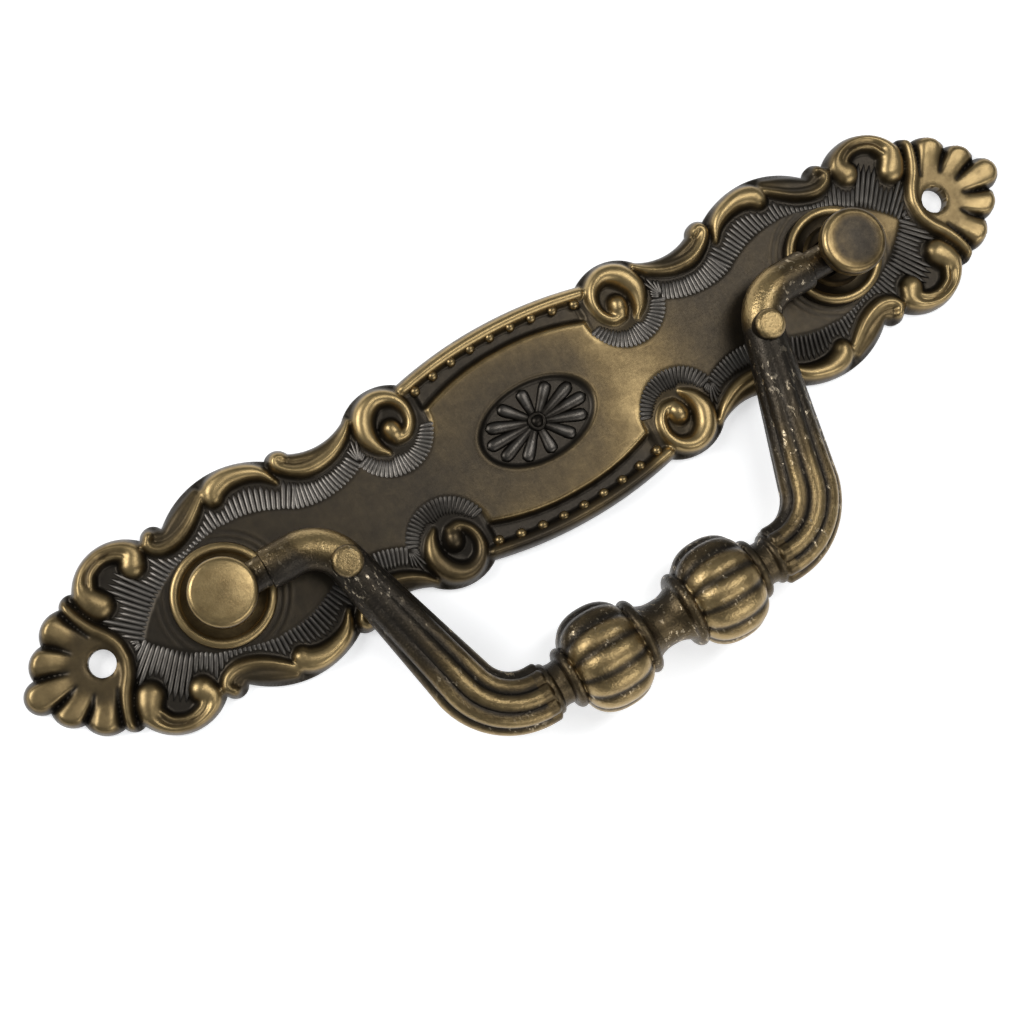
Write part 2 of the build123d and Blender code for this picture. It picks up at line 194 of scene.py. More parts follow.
class PlateSizes(bpy.types.PropertyGroup):
    """Sizes of the backplate"""

    grid_step: bpy.props.FloatProperty(
        name="Grid Step", description="Spacing of points on the carved face", default=0.00021, unit="LENGTH")
    ground: bpy.props.FloatProperty(
        name="Ground", description="Height of the sunk ground", default=0.00115, unit="LENGTH")
    panel: bpy.props.FloatProperty(
        name="Panel", description="Height of the smooth raised panel", default=0.0023, unit="LENGTH")
    edge: bpy.props.FloatProperty(
        name="Edge", description="Height of the upright wall round the plate", default=0.0008, unit="LENGTH")
    edge_round: bpy.props.FloatProperty(
        name="Edge Rounding", description="Radius of the face's rolled edge", default=0.0011, unit="LENGTH")
    pocket: bpy.props.FloatProperty(
        name="Pocket", description="Depth of the hollow behind the panel", default=0.0008, unit="LENGTH")
    ray_pitch: bpy.props.FloatProperty(
        name="Ray Pitch", description="Spacing of the rays round the panel", default=0.0006, unit="LENGTH")
    ray_height: bpy.props.FloatProperty(
        name="Ray Height", description="Rise of a ray above the ground", default=0.00027, unit="LENGTH")
    border_beads: bpy.props.IntProperty(
        name="Border Beads", description="Beads along each long edge", default=9, min=3)
    border_bead_radius: bpy.props.FloatProperty(
        name="Border Bead Radius", description="Radius of a border bead", default=0.00072, unit="LENGTH")
    petals: bpy.props.IntProperty(
        name="Petals", description="Petals of the rosette", default=12, min=6)
    rosette_length: bpy.props.FloatProperty(
        name="Rosette Half Length", description="Half length of the recess", default=0.0084, unit="LENGTH")
    rosette_width: bpy.props.FloatProperty(
        name="Rosette Half Width", description="Half width of the recess", default=0.0053, unit="LENGTH")
    rosette_depth: bpy.props.FloatProperty(
        name="Rosette Depth", description="Depth of the oval recess", default=0.0007, unit="LENGTH")


class BailSizes(bpy.types.PropertyGroup):
    """Sizes of the bail"""

    reach: bpy.props.FloatProperty(
        name="Reach", description="Swing axis to the middle of the grip", default=0.0308, unit="LENGTH")
    bead_radius: bpy.props.FloatProperty(
        name="Bead Radius", description="Radius of a melon bead", default=0.0071, unit="LENGTH")
    bead_lobes: bpy.props.IntProperty(
        name="Bead Lobes", description="Lobes round a melon bead", default=12, min=4)
    arm_reeds: bpy.props.IntProperty(
        name="Arm Reeds", description="Reeds round an arm", default=9, min=4)
    reed_depth: bpy.props.FloatProperty(
        name="Reed Depth", description="Depth of the grooves on an arm", default=0.0006, unit="LENGTH")


class BrassColours(bpy.types.PropertyGroup):
    """Colours of the aged brass"""

    gold: bpy.props.FloatVectorProperty(
        name="Gold", description="Buffed high points", default=(0.375, 0.272, 0.128), subtype="COLOR")
    bronze: bpy.props.FloatVectorProperty(
        name="Bronze", description="Half-worn patina", default=(0.12, 0.086, 0.042), subtype="COLOR")
    soot: bpy.props.FloatVectorProperty(
        name="Soot", description="Dark patina in recesses", default=(0.034, 0.0285, 0.022), subtype="COLOR")
    slate: bpy.props.FloatVectorProperty(
        name="Slate", description="Grey, unbuffed crests", default=(0.175, 0.16, 0.142), subtype="COLOR")


class StageSettings(bpy.types.PropertyGroup):
    """Light and floor"""

    key_power: bpy.props.FloatProperty(
        name="Key Power", description="Power of the large soft light", default=2.0, unit="POWER")
    top_power: bpy.props.FloatProperty(
        name="Top Power", description="Power of the narrow light overhead", default=0.6, unit="POWER")
    fill_power: bpy.props.FloatProperty(
        name="Fill Power", description="Power of the weak light in front", default=0.8, unit="POWER")
    floor_glow: bpy.props.FloatProperty(
        name="Floor Glow", description="Light that the floor gives off by itself", default=0.5)
    floor_colour: bpy.props.FloatVectorProperty(
        name="Floor", description="Pale floor", default=(0.92, 0.92, 0.92), subtype="COLOR")


class Shade:
    """A number on a node's socket, with arithmetic that adds Math nodes."""

    def __init__(self, nodes, socket):
        self.nodes = nodes
        self.socket = socket

    def math(self, operation, first, second):
        return self.nodes.value("ShaderNodeMath", {0: first, 1: second}, {"operation": operation})

    def __add__(self, other):
        return self.math("ADD", self, other)

    def __radd__(self, other):
        return self.math("ADD", other, self)

    def __sub__(self, other):
        return self.math("SUBTRACT", self, other)

    def __rsub__(self, other):
        return self.math("SUBTRACT", other, self)

    def __mul__(self, other):
        return self.math("MULTIPLY", self, other)

    def __rmul__(self, other):
        return self.math("MULTIPLY", other, self)

    def __pow__(self, other):
        return self.math("POWER", self, other)

    def __rpow__(self, other):
        return self.math("POWER", other, self)

    def smooth(self, low, high):
        """Rises smoothly from 0 at low to 1 at high."""
        return self.nodes.value("ShaderNodeMapRange", {"Value": self, "From Min": low, "From Max": high}, {
            "interpolation_type": "SMOOTHSTEP"}, "Result")


class Nodes:
    """Adds nodes to a tree, with values or links for their inputs, and settings that are made first."""

    def __init__(self, tree):
        self.tree = tree

    def add(self, kind, inputs=None, settings=None):
        node = self.tree.nodes.new(kind)
        for name, setting in (settings or {}).items():
            if name == "stops":
                self.set_stops(node.color_ramp, setting)
            else:
                setattr(node, name, setting)
        for key, given in (inputs or {}).items():
            source = given.socket if isinstance(given, Shade) else given
            if isinstance(source, bpy.types.NodeSocket):
                self.tree.links.new(source, node.inputs[key])
            else:
                node.inputs[key].default_value = source
        return node

    def set_stops(self, ramp, stops):
        while len(ramp.elements) < len(stops):
            ramp.elements.new(1.0)
        for element, (place, colour) in zip(ramp.elements, stops):
            element.position = place
            element.color = (*colour, 1.0)

    def value(self, kind, inputs=None, settings=None, output=0):
        return Shade(self, self.add(kind, inputs, settings).outputs[output])

    def output(self, kind, inputs=None, settings=None):
        """First output of a new node."""
        return self.add(kind, inputs, settings).outputs[0]

    def mix(self, blend, share, first, second):
        """Colour between two others, or one multiplied by the other."""
        return self.add("ShaderNodeMix", {0: share, 6: first, 7: second}, {
            "data_type": "RGBA", "blend_type": blend}).outputs[2]


def empty_material(name):
    """New material with its nodes cleared."""
    material = bpy.data.materials.new(name)
    material.use_nodes = True
    material.node_tree.nodes.clear()
    return material, Nodes(material.node_tree)


def aged_brass(name, tones, buffing=0.0, grain=0.4, mottling=1.0, unevenness=0.0, painted_glints=0.0,
               dullness=0.37, hammer=0.25):
    """Brass that goes from the first tone, a dark patina, to the last as the wear attribute rises."""
    material, nodes = empty_material(name)
    place = nodes.add("ShaderNodeTexCoord").outputs["Object"]
    wear = nodes.value("ShaderNodeAttribute", settings={"attribute_name": "wear"}, output="Fac")

    def noise(scale, detail, stretch=(1, 1, 1), rough=0.55):
        spread = nodes.add("ShaderNodeMapping", {"Vector": place, "Scale": stretch}).outputs["Vector"]
        return nodes.value("ShaderNodeTexNoise", {
            "Vector": spread, "Scale": scale, "Detail": detail, "Roughness": rough}, output="Fac")

    clouds = noise(90, 3)
    mottle = noise(700, 5)
    speckle = noise(3200, 3)
    brushing = noise(900, 3, (2.0, 0.12, 1.0))
    scratches = noise(300, 2, (1.0, 14.0, 1.0), 0.4).smooth(0.68, 0.72)
    rub = wear + buffing + (clouds + mottle * 0.8 - 0.9) * wear ** 4 * unevenness
    rub = rub + ((clouds - 0.5) * 0.35 + (mottle - 0.5) * 0.3) * mottling
    rub = rub + (brushing - 0.5) * 0.07 + scratches * 0.1 * wear
    # Pale flecks stretched along y, where the wear is low, are painted glints; they also lower the roughness
    glint_flecks = noise(1800, 3, (1.0, 0.45, 1.0)).smooth(0.58, 0.68) * clouds.smooth(0.42, 0.56)
    painted_glint = glint_flecks * (1 - wear) * painted_glints
    buffed = (rub + painted_glint).smooth(0.05, 1.0)
    tone = nodes.add("ShaderNodeValToRGB", {"Fac": buffed}, {"stops": tones}).outputs["Color"]
    stain = nodes.add("ShaderNodeValToRGB", {"Fac": mottle}, {"stops": STAIN_TONES}).outputs["Color"]
    stained = nodes.mix("MULTIPLY", 0.5 * mottling, tone, stain)
    # Painted glints laid over the stained brass
    colour = nodes.mix("MIX", painted_glint * 0.7, stained, (*PAINTED_GLINT_COLOUR, 1.0))
    roughness = dullness - buffed * 0.04 + (speckle - 0.5) * 0.2 - painted_glint * 0.15
    metallic = 0.88 + buffed * 0.12
    relief = speckle * grain + mottle * 0.6 * grain + brushing * 0.2
    bump = nodes.output("ShaderNodeBump", {
        "Strength": hammer, "Distance": BUMP_DEPTH * MM, "Height": relief})
    shader = nodes.output("ShaderNodeBsdfPrincipled", {
        "Base Color": colour, "Metallic": metallic, "Roughness": roughness, "Normal": bump})
    nodes.add("ShaderNodeOutputMaterial", {"Surface": shader})
    return material


def gilt_tones(colours):
    """From dark patina to buffed gold."""
    return [(0.0, colours.soot), (0.42, colours.bronze), (1.0, colours.gold)]


def slate_tones(colours):
    """From hollows darker than soot to grey crests."""
    return [(0.0, [SLATE_SHADOW * share for share in colours.soot]), (1.0, colours.slate)]


def arc_points(start, middle, end, step):
    """Points of the arc through three places, without its end."""
    share = (end - start) / (middle - start)
    centre = start + (middle - start) * (share - abs(share) ** 2) / (2j * share.imag)
    turn = np.angle((middle - centre) / (start - centre)) + np.angle((end - centre) / (middle - centre))
    count = max(4, int(abs(turn) * abs(start - centre) / step))
    return centre + (start - centre) * np.exp(1j * turn * np.arange(count) / count)


def drawn_line(start, arcs, step=0.1):
    """Points along a chain of arcs."""
    pieces = []
    for middle, end in arcs:
        pieces.append(arc_points(start, middle, end, step))
        start = end
    return np.concatenate(pieces + [np.array([start])])


def smooth_rows(rows, per_span=10):
    """Rows of numbers with smooth curves through them."""
    rows = np.array(rows, float)
    padded = np.vstack([2 * rows[0] - rows[1], rows, 2 * rows[-1] - rows[-2]])
    share = np.linspace(0, 1, per_span, endpoint=False)[:, None]
    spans = []
    for before, here, there, after in zip(padded, padded[1:], padded[2:], padded[3:]):
        pull_in = (there - before) / 2
        pull_out = (after - here) / 2
        bend = 2 * (here - there) + pull_in + pull_out
        lean = 3 * (there - here) - 2 * pull_in - pull_out
        spans.append(here + share * (pull_in + share * (lean + share * bend)))
    return np.vstack(spans + [rows[-1:]])


def distance_to_line(points, line):
    """Distance of points to a line of straight runs."""
    best = np.full(points.shape, np.inf)
    for here, there in zip(line, line[1:]):
        run = there - here
        share = np.clip(((points - here) * np.conj(run)).real / abs(run) ** 2, 0, 1)
        best = np.minimum(best, abs(points - (here + share * run)))
    return best


def inside_loop(points, loop):
    """True where points lie inside a closed loop."""
    crossed = np.zeros(points.shape, bool)
    for here, there in zip(loop, np.roll(loop, -1)):
        if here.imag == there.imag:
            continue
        level = (points.imag > here.imag) != (points.imag > there.imag)
        side = here.real + (points.imag - here.imag) * (there - here).real / (there - here).imag
        crossed ^= level & (points.real < side)
    return crossed


def signed_distance(points, line):
    """Distance to a quarter outline, less than nothing inside it."""
    distance = distance_to_line(points, line)
    just_off_axes = points + 1e-6 * (1 + 1j)
    inside = inside_loop(just_off_axes, np.append(line, 0))
    return np.where(inside, -distance, distance)


def soft_top(low, high, blend):
    """Higher of two heights, with the crease between them filled."""
    gap = np.clip(0.5 + 0.5 * (high - low) / blend, 0, 1)
    return low + (high - low) * gap + blend * gap * (1 - gap)


def step_up(value, low, high):
    """Smooth rise from 0 at low to 1 at high."""
    share = np.clip((value - low) / (high - low), 0, 1)
    return share * share * (3 - 2 * share)


def along_stroke(points, rows):
    """Mask of the points near a stroke, with their share of its half width and its last number there."""
    line = smooth_rows(rows)
    reach = line[:, 2].max()
    near = ((points.real > line[:, 0].min() - reach) & (points.real < line[:, 0].max() + reach)
            & (points.imag > line[:, 1].min() - reach) & (points.imag < line[:, 1].max() + reach))
    spots = points[near]
    closest = np.full(spots.shape, np.inf)
    crest = np.zeros(spots.shape)
    for here, there in zip(line, line[1:]):
        start = complex(here[0], here[1])
        run = complex(there[0], there[1]) - start
        share = np.clip(((spots - start) * np.conj(run)).real / max(abs(run) ** 2, 1e-9), 0, 1)
        radius = (here[2] + (there[2] - here[2]) * share) / 2
        away = abs(spots - start - share * run) / radius
        better = away < closest
        closest[better] = away[better]
        crest[better] = (here[3] + (there[3] - here[3]) * share)[better]
    return near, closest, crest


def cut_stroke(points, height, wear, rows):
    """Cuts a rounded groove into the height field."""
    near, away, depth = along_stroke(points, rows)
    hollow = np.clip(1 - away ** 2, 0, 1)
    height[near] -= depth * hollow
    wear[near] *= 1 - np.sqrt(hollow)


def carve_stroke(points, height, wear, rows, roundness, buffing, ground):
    """Raises one carved stroke on the height field."""
    near, closest, crest = along_stroke(points, rows)
    dome = np.sqrt(np.clip(1 - np.clip(closest, 0, 1) ** roundness, 0, 1))
    raised = np.where(closest < 1, ground + (crest - ground) * dome, 0)
    old = height[near]
    on_top = step_up(raised - old, -0.05, 0.2)
    height[near] = np.where(closest < 1, soft_top(old, raised, 0.12), old)
    rubbed = buffing * (0.2 + 0.8 * step_up(dome, 0.25, 0.95))
    wear[near] = wear[near] * (1 - on_top) + rubbed * on_top


def softened(quarter):
    """Grid with each point averaged with its neighbours, which rounds off the steps between rows."""
    padded = np.pad(quarter, 1, "reflect")
    across = (padded[:, :-2] + 2 * padded[:, 1:-1] + padded[:, 2:]) / 4
    return (across[:-2] + 2 * across[1:-1] + across[2:]) / 4


class CarvedFace:
    """Height and wear of the plate's front on a grid over one quarter."""

    # End of the border along the plate, and wear of the ground and how much more the panel has
    BORDER_END = 12.9
    BORDER_FADE = 0.8
    DULL_WEAR = 0.12
    PANEL_WEAR = 0.06

    # Flat of the shell
    SHELL_LEVEL = 2.25
    SHELL_WEAR = 0.62

    # Lip round the rosette, rings round a post's foot and the dip round a screw hole
    LIP_HEIGHT = 0.06
    SEAT_INNER = 6.6
    SEAT_OUTER = 9.2
    SEAT_RING_PITCH = 0.86
    SEAT_RING_HEIGHT = 0.05
    HOLE_DIP = 0.3
    HOLE_DIP_REACH = 0.25

    def __init__(self, sizes):
        self.step = sizes.grid_step / MM
        self.ground = sizes.ground / MM
        self.panel = sizes.panel / MM
        self.edge = sizes.edge / MM
        self.hole = SCREW_PITCH / 2
        self.outline = drawn_line(OUTLINE_START, OUTLINE_ARCS)
        columns = int(self.outline.real.max() / self.step) + 3
        rows = int(self.outline.imag.max() / self.step) + 3
        across, up = np.meshgrid(np.arange(columns) * self.step, np.arange(rows) * self.step)
        self.points = across + 1j * up
        self.outside = signed_distance(self.points, self.outline)
        self.from_panel = signed_distance(self.points, drawn_line(PANEL_START, PANEL_ARCS))
        self.height, self.wear = self.ground_and_panel()
        self.raise_shell()
        for stroke, roundness, buffing in STROKES:
            carve_stroke(self.points, self.height, self.wear, stroke, roundness, buffing, self.ground)
        for cut in SHELL_CUTS:
            cut_stroke(self.points, self.height, self.wear, cut)
        self.sink_rosette(sizes)
        self.turn_seat()
        self.height = softened(self.height)
        self.wear = softened(self.wear)
        self.roll_edges(sizes.edge_round / MM)

    def ground_and_panel(self):
        """Smooth panel, and the ground that falls away from it or, along the border, lies flat below it."""
        from_panel = self.from_panel
        fall = np.clip(self.panel - GROUND_STEP - GROUND_FALL * from_panel, self.ground, None)
        border = step_up(self.BORDER_END - self.points.real, 0, self.BORDER_FADE)
        fall = fall * (1 - border) + self.ground * border
        height = fall + (self.panel - fall) * step_up(-from_panel, -0.25, 0.45)
        bright_bevel = border * 0.45 * np.exp(-((from_panel + 0.35) / 0.3) ** 2)
        bright_edge = step_up(17 - self.points.real, 0, 9) * 0.24 * np.exp(from_panel / 2.4)
        on_panel = step_up(-from_panel, -0.1, 0.35)
        wear = self.DULL_WEAR + (self.PANEL_WEAR + bright_bevel + bright_edge) * on_panel
        return height, wear

    def raise_shell(self):
        """Flat of the shell beyond the band round the screw hole."""
        band = smooth_rows(SHELL_BAND)[::-1]
        band_place = np.interp(self.points.imag, band[:, 1], band[:, 0])
        beyond = step_up(self.points.real - band_place, 0.0, 0.5)
        self.height += (self.SHELL_LEVEL - self.height) * beyond
        self.wear += (self.SHELL_WEAR - self.wear) * beyond

    def sink_rosette(self, sizes):
        """Oval recess in the middle of the panel, with a thin raised lip."""
        long, short = sizes.rosette_length / MM, sizes.rosette_width / MM
        depth = sizes.rosette_depth / MM
        oval = np.sqrt((self.points.real / long) ** 2 + (self.points.imag / short) ** 2)
        inward = (1 - oval) * (long + short) / 2
        floor = step_up(inward, -0.1, 0.5)
        lip = np.exp(-((inward + 0.3) / 0.16) ** 2)
        self.height += lip * self.LIP_HEIGHT - floor * depth
        self.wear = (self.wear + 0.1 * lip) * (1 - floor)

    def turn_seat(self):
        """Fine turned rings on the panel round the foot of a post."""
        radius = abs(self.points - POST_PLACE)
        ringed = step_up(radius, self.SEAT_INNER, self.SEAT_INNER + 0.4)
        ringed *= step_up(self.SEAT_OUTER - radius, 0, 0.8) * step_up(-self.from_panel, 0.2, 0.8)
        ripple = np.cos(radius * 2 * pi / self.SEAT_RING_PITCH) * ringed
        self.height += self.SEAT_RING_HEIGHT * ripple
        self.wear += 0.07 * ripple

    def roll_edges(self, radius):
        """Rolls the face over to the plate's edge and to the rim of the screw hole."""
        inset = np.clip(-self.outside, 0, radius) / radius
        roll = np.sqrt(np.clip(1 - (1 - inset) ** 2, 0, 1))
        self.height = self.edge + (self.height - self.edge) * roll
        self.wear *= 0.5 + 0.5 * step_up(inset, 0.1, 0.8)
        from_hole = abs(self.points - self.hole) - SCREW_RADIUS
        self.height -= self.HOLE_DIP * np.exp(-np.clip(from_hole, 0, None) / self.HOLE_DIP_REACH)
        self.outside = np.maximum(self.outside, -from_hole)


def patina_and_shade_share(places, across, up):
    """Share of the wear left at each point by the uneven patina and the painted shade."""
    left = np.ones(across.shape)
    for x, y, long, wide, share in places:
        left *= 1 + (share - 1) * np.exp(-((across - x) / long) ** 2 - ((up - y) / wide) ** 2)
    return left


def mirrored_grid(quarter):
    """Whole grid from the quarter with its first row and column on the axes."""
    right = np.vstack([quarter[:0:-1], quarter])
    return np.hstack([right[:, :0:-1], right])


def boundary_loops(faces):
    """Closed loops of vertex numbers round the open edges of a mesh of quads."""
    edges = np.concatenate([faces[:, [side, (side + 1) % 4]] for side in range(4)])
    keys = np.sort(edges, 1)
    _, place, count = np.unique(keys, axis=0, return_index=True, return_counts=True)
    following = {int(start): int(end) for start, end in edges[place[count == 1]]}
    loops = []
    while following:
        start, here = following.popitem()
        loop = [start]
        while here != start:
            loop.append(here)
            here = following.pop(here)
        loops.append(loop)
    return sorted(loops, key=len, reverse=True)


def whole_loop(quarter):
    """Closed line round the object from a quarter of it that runs from one axis to the other."""
    half = np.concatenate([-np.conj(quarter[::-1]), quarter[1:]])
    return np.concatenate([half, np.conj(half[-2:0:-1])])


def settle_rim(places, loop, guide):
    """Spreads the points of a rim in order along a closed guide line."""
    spots = places[loop, 0] + 1j * places[loop, 1]
    turning = (np.roll(spots, -1) * np.conj(spots)).imag.sum()
    if turning * (np.roll(guide, -1) * np.conj(guide)).imag.sum() < 0:
        guide = guide[::-1]
    closed = np.append(guide, guide[0])
    runs = np.concatenate([[0], np.cumsum(abs(np.diff(closed)))])
    whole = runs[-1]
    run = runs[abs(spots[:, None] - guide[None, :]).argmin(1)]
    run = run - run[0]
    expected = whole * np.arange(len(run)) / len(run)
    run = np.sort(run + whole * np.round((expected - run) / whole))
    wrapped = np.concatenate([run[-2:] - whole, run, run[:2] + whole])
    run = np.convolve(wrapped, np.ones(5) / 5, "valid") + runs[abs(spots[0] - guide).argmin()]
    places[loop, 0] = np.interp(run % whole, runs, closed.real)
    places[loop, 1] = np.interp(run % whole, runs, closed.imag)


def linked(name, data):
    """New object in the scene."""
    piece = bpy.data.objects.new(name, data)
    bpy.context.scene.collection.objects.link(piece)
    return piece


def mesh_object(name, points, faces, wear):
    """Object at the origin with smooth faces and a wear attribute."""
    mesh = bpy.data.meshes.new(name)
    mesh.from_pydata([tuple(point) for point in np.array(points, float) * MM], [], faces)
    mesh.validate()
    attribute = mesh.attributes.new("wear", "FLOAT", "POINT")
    attribute.data.foreach_set("value", np.array(wear, np.float32))
    mesh.polygons.foreach_set("use_smooth", np.ones(len(mesh.polygons), bool))
    mesh.set_sharp_from_angle(angle=SHARP_ANGLE)
    return linked(name, mesh)


def point_source(name, points, edges=()):
    """Object with loose points, and edges between them, for a node tree to work on."""
    mesh = bpy.data.meshes.new(name)
    mesh.from_pydata((np.array(points) * MM).tolist(), edges, [])
    return linked(name, mesh)


def wall(upper, lower):
    """Quads between two rings of vertex numbers that run the same way round."""
    return [(upper[here], upper[here - 1], lower[here - 1], lower[here]) for here in range(len(upper))]


def finish_piece(piece, material, body, slot, *nodes):
    """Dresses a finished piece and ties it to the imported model."""
    piece.data.materials.clear()
    piece.data.materials.append(material)
    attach(piece, body)
    if nodes:
        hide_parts(*nodes)


def plain_mesh(source, name):
    """New object with the finished mesh of one that carries a modifier, which is removed."""
    graph = bpy.context.evaluated_depsgraph_get()
    mesh = bpy.data.meshes.new_from_object(source.evaluated_get(graph))
    bpy.data.objects.remove(source)
    return linked(name, mesh)


def geometry_tree(name, sizes):
    """Node tree with a geometry input, named number inputs and a geometry output."""
    tree = bpy.data.node_groups.new(name, "GeometryNodeTree")
    tree.interface.new_socket("Geometry", in_out="INPUT", socket_type="NodeSocketGeometry")
    for label, kind in sizes.items():
        tree.interface.new_socket(label, in_out="INPUT", socket_type=kind)
    tree.interface.new_socket("Geometry", in_out="OUTPUT", socket_type="NodeSocketGeometry")
    nodes = Nodes(tree)
    return tree, nodes, nodes.add("NodeGroupInput").outputs


def run_tree(piece, tree, values):
    """Puts a node tree on an object, with its inputs set by identifier."""
    modifier = piece.modifiers.new(tree.name, "NODES")
    modifier.node_group = tree
    for socket in tree.interface.items_tree:
        if socket.in_out == "INPUT" and socket.name in values:
            modifier[socket.identifier] = values[socket.name]


def close_tree(nodes, material, placing):
    """Ends a tree with instances on points, made real and smooth, and with a material."""
    placed = nodes.output("GeometryNodeInstanceOnPoints", placing)
    real = nodes.output("GeometryNodeRealizeInstances", {"Geometry": placed})
    smooth = nodes.output("GeometryNodeSetShadeSmooth", {"Geometry": real})
    dressed = nodes.output("GeometryNodeSetMaterial", {"Geometry": smooth, "Material": material})
    nodes.add("NodeGroupOutput", {"Geometry": dressed})


def rod_mesh(nodes, sides, rings, taper, bluntness):
    """Unit rod from the origin along x with rounded ends, and wear on its upper side."""
    line = nodes.output("GeometryNodeCurvePrimitiveLine", {"Start": (0, 0, 0), "End": (1, 0, 0)})
    fine = nodes.output("GeometryNodeResampleCurve", {"Curve": line, "Count": rings})
    along = nodes.value("GeometryNodeSplineParameter", output="Factor")
    middle = along * 2 - 1
    # A little over 1, so that each end keeps a small flat
    fullness = 1.02 - (middle * middle) ** bluntness
    round_end = nodes.value("ShaderNodeMath", {0: fullness}, {"operation": "SQRT"})
    radius = round_end * (1 - (1 - along) * taper) * 0.5
    ring = nodes.output("GeometryNodeCurvePrimitiveCircle", {"Resolution": sides, "Radius": 1.0})
    solid = nodes.output("GeometryNodeCurveToMesh", {
        "Curve": fine, "Profile Curve": ring, "Scale": radius, "Fill Caps": True})
    place = nodes.output("GeometryNodeInputPosition")
    level = nodes.value("ShaderNodeSeparateXYZ", {"Vector": place}, output="Z")
    return nodes.output("GeometryNodeStoreNamedAttribute", {
        "Geometry": solid, "Name": "wear", "Value": level.smooth(-0.05, 0.45)}, {
        "data_type": "FLOAT", "domain": "POINT"})


def turn_along(nodes, way):
    """Rotation that lays x along a vector and keeps z as upright as it can."""
    return nodes.output("FunctionNodeAxesToRotation", {"Primary Axis": way, "Secondary Axis": (0, 0, 1)}, {
        "primary_axis": "X", "secondary_axis": "Z"})


class DRAWERPULL_OT_backplate(bpy.types.Operator):
    """Builds the carved backplate with its pocketed back"""

    bl_idname = "drawerpull.backplate"
    bl_label = "Backplate"

    # Points of the guide line round a screw hole
    HOLE_POINTS = 200

    def execute(self, context):
        sizes = context.scene.drawerpull_plate
        face = CarvedFace(sizes)
        points, wear, faces = self.front(face)
        loops = boundary_loops(faces)
        points, wear, faces = self.walls_and_back(points, wear, faces.tolist(), loops, sizes.pocket / MM)
        plate = mesh_object("scrolled_backplate", points, faces, wear)
        tones = gilt_tones(context.scene.drawerpull_brass)
        material = aged_brass("plate_aged_brass", tones, mottling=0.42, unevenness=1.0, dullness=0.41)
        finish_piece(plate, material, "plate", "plate_brass", "backplate")
        return {"FINISHED"}

    def front(self, face):
        """Grid of the carved face, cut to the outline and the screw holes."""
        height = mirrored_grid(face.height)
        wear = mirrored_grid(face.wear)
        outside = mirrored_grid(face.outside)
        columns, rows = face.points.shape[1], face.points.shape[0]
        side = np.sign(np.arange(1 - columns, columns))[None, :]
        end = np.sign(np.arange(1 - rows, rows))[:, None]
        across = mirrored_grid(face.points.real) * side
        up = mirrored_grid(face.points.imag) * end
        # The uneven patina, and painted shade such as on the lower border rim
        wear = np.clip(wear * patina_and_shade_share(PATINA_AND_PAINTED_SHADE, across, up), 0, 1)
        # Points just outside are kept too, and settle on the rim
        kept = outside < 0.4 * face.step
        cells = kept[:-1, :-1] & kept[:-1, 1:] & kept[1:, 1:] & kept[1:, :-1]
        number = np.arange(kept.size).reshape(kept.shape)
        quads = np.stack([number[:-1, :-1][cells], number[:-1, 1:][cells],
                          number[1:, 1:][cells], number[1:, :-1][cells]], 1)
        places = np.stack([across.ravel(), up.ravel(), height.ravel()], 1)
        rims = boundary_loops(quads)
        settle_rim(places, rims[0], whole_loop(face.outline))
        places[rims[0], 2] = face.edge
        around = np.exp(2j * pi * np.arange(self.HOLE_POINTS) / self.HOLE_POINTS)
        for rim in rims[1:]:
            centre = face.hole * np.sign(places[rim[0], 0])
            settle_rim(places, rim, centre + SCREW_RADIUS * around)
        used = np.unique(quads)
        renumber = np.zeros(kept.size, int)
        renumber[used] = np.arange(len(used))
        return places[used], wear.ravel()[used], renumber[quads]

    def walls_and_back(self, points, wear, faces, loops, depth):
        """Upright walls below the rims, and the flat back with a pocket."""
        points = [tuple(point) for point in points]
        wear = list(wear)
        rims = []
        for loop in loops:
            spots = [complex(*points[number][:2]) for number in loop]
            rims.append(self.ring_of_points(points, wear, spots, 0.0))
            faces += wall(loop, rims[-1])
        whole = whole_loop(np.array(POCKET))
        pocket = self.ring_of_points(points, wear, whole, 0.0)
        floor = self.ring_of_points(points, wear, whole, depth)
        faces += wall(floor, pocket)
        self.fill(points, faces, rims[0], rims[1:] + [pocket])
        self.fill(points, faces, floor, [])
        return points, wear, faces

    def ring_of_points(self, points, wear, places, level):
        """Adds a ring of points at one level and gives their numbers."""
        first = len(points)
        points += [(place.real, place.imag, level) for place in places]
        wear += [HIDDEN_WEAR] * len(places)
        return list(range(first, len(points)))

    def fill(self, points, faces, outer, holes):
        """Fills the flat area inside a ring, apart from the holes in it, with triangles that face down."""
        numbers = outer + [number for hole in holes for number in hole]
        flat = np.array([points[number][:2] for number in numbers]) @ (1, 1j)
        edges = []
        start = 0
        for ring in [outer] + holes:
            edges += [(start + here, start + (here + 1) % len(ring)) for here in range(len(ring))]
            start += len(ring)
        places = [Vector((place.real, place.imag)) for place in flat]
        _, _, found, origins, _, _ = delaunay_2d_cdt(places, edges, [], 1, 1e-6)
        triangles = np.array([[origins[corner][0] for corner in triangle] for triangle in found])
        first, second, third = flat[triangles].T
        middle = (first + second + third) / 3
        kept = np.ones(len(triangles), bool)
        for hole in holes:
            kept &= ~inside_loop(middle, np.array([points[number][:2] for number in hole]) @ (1, 1j))
        turned = ((third - first) * np.conj(second - first)).imag > 0
        triangles[turned] = triangles[turned][:, ::-1]
        faces += np.array(numbers)[triangles[kept]].tolist()


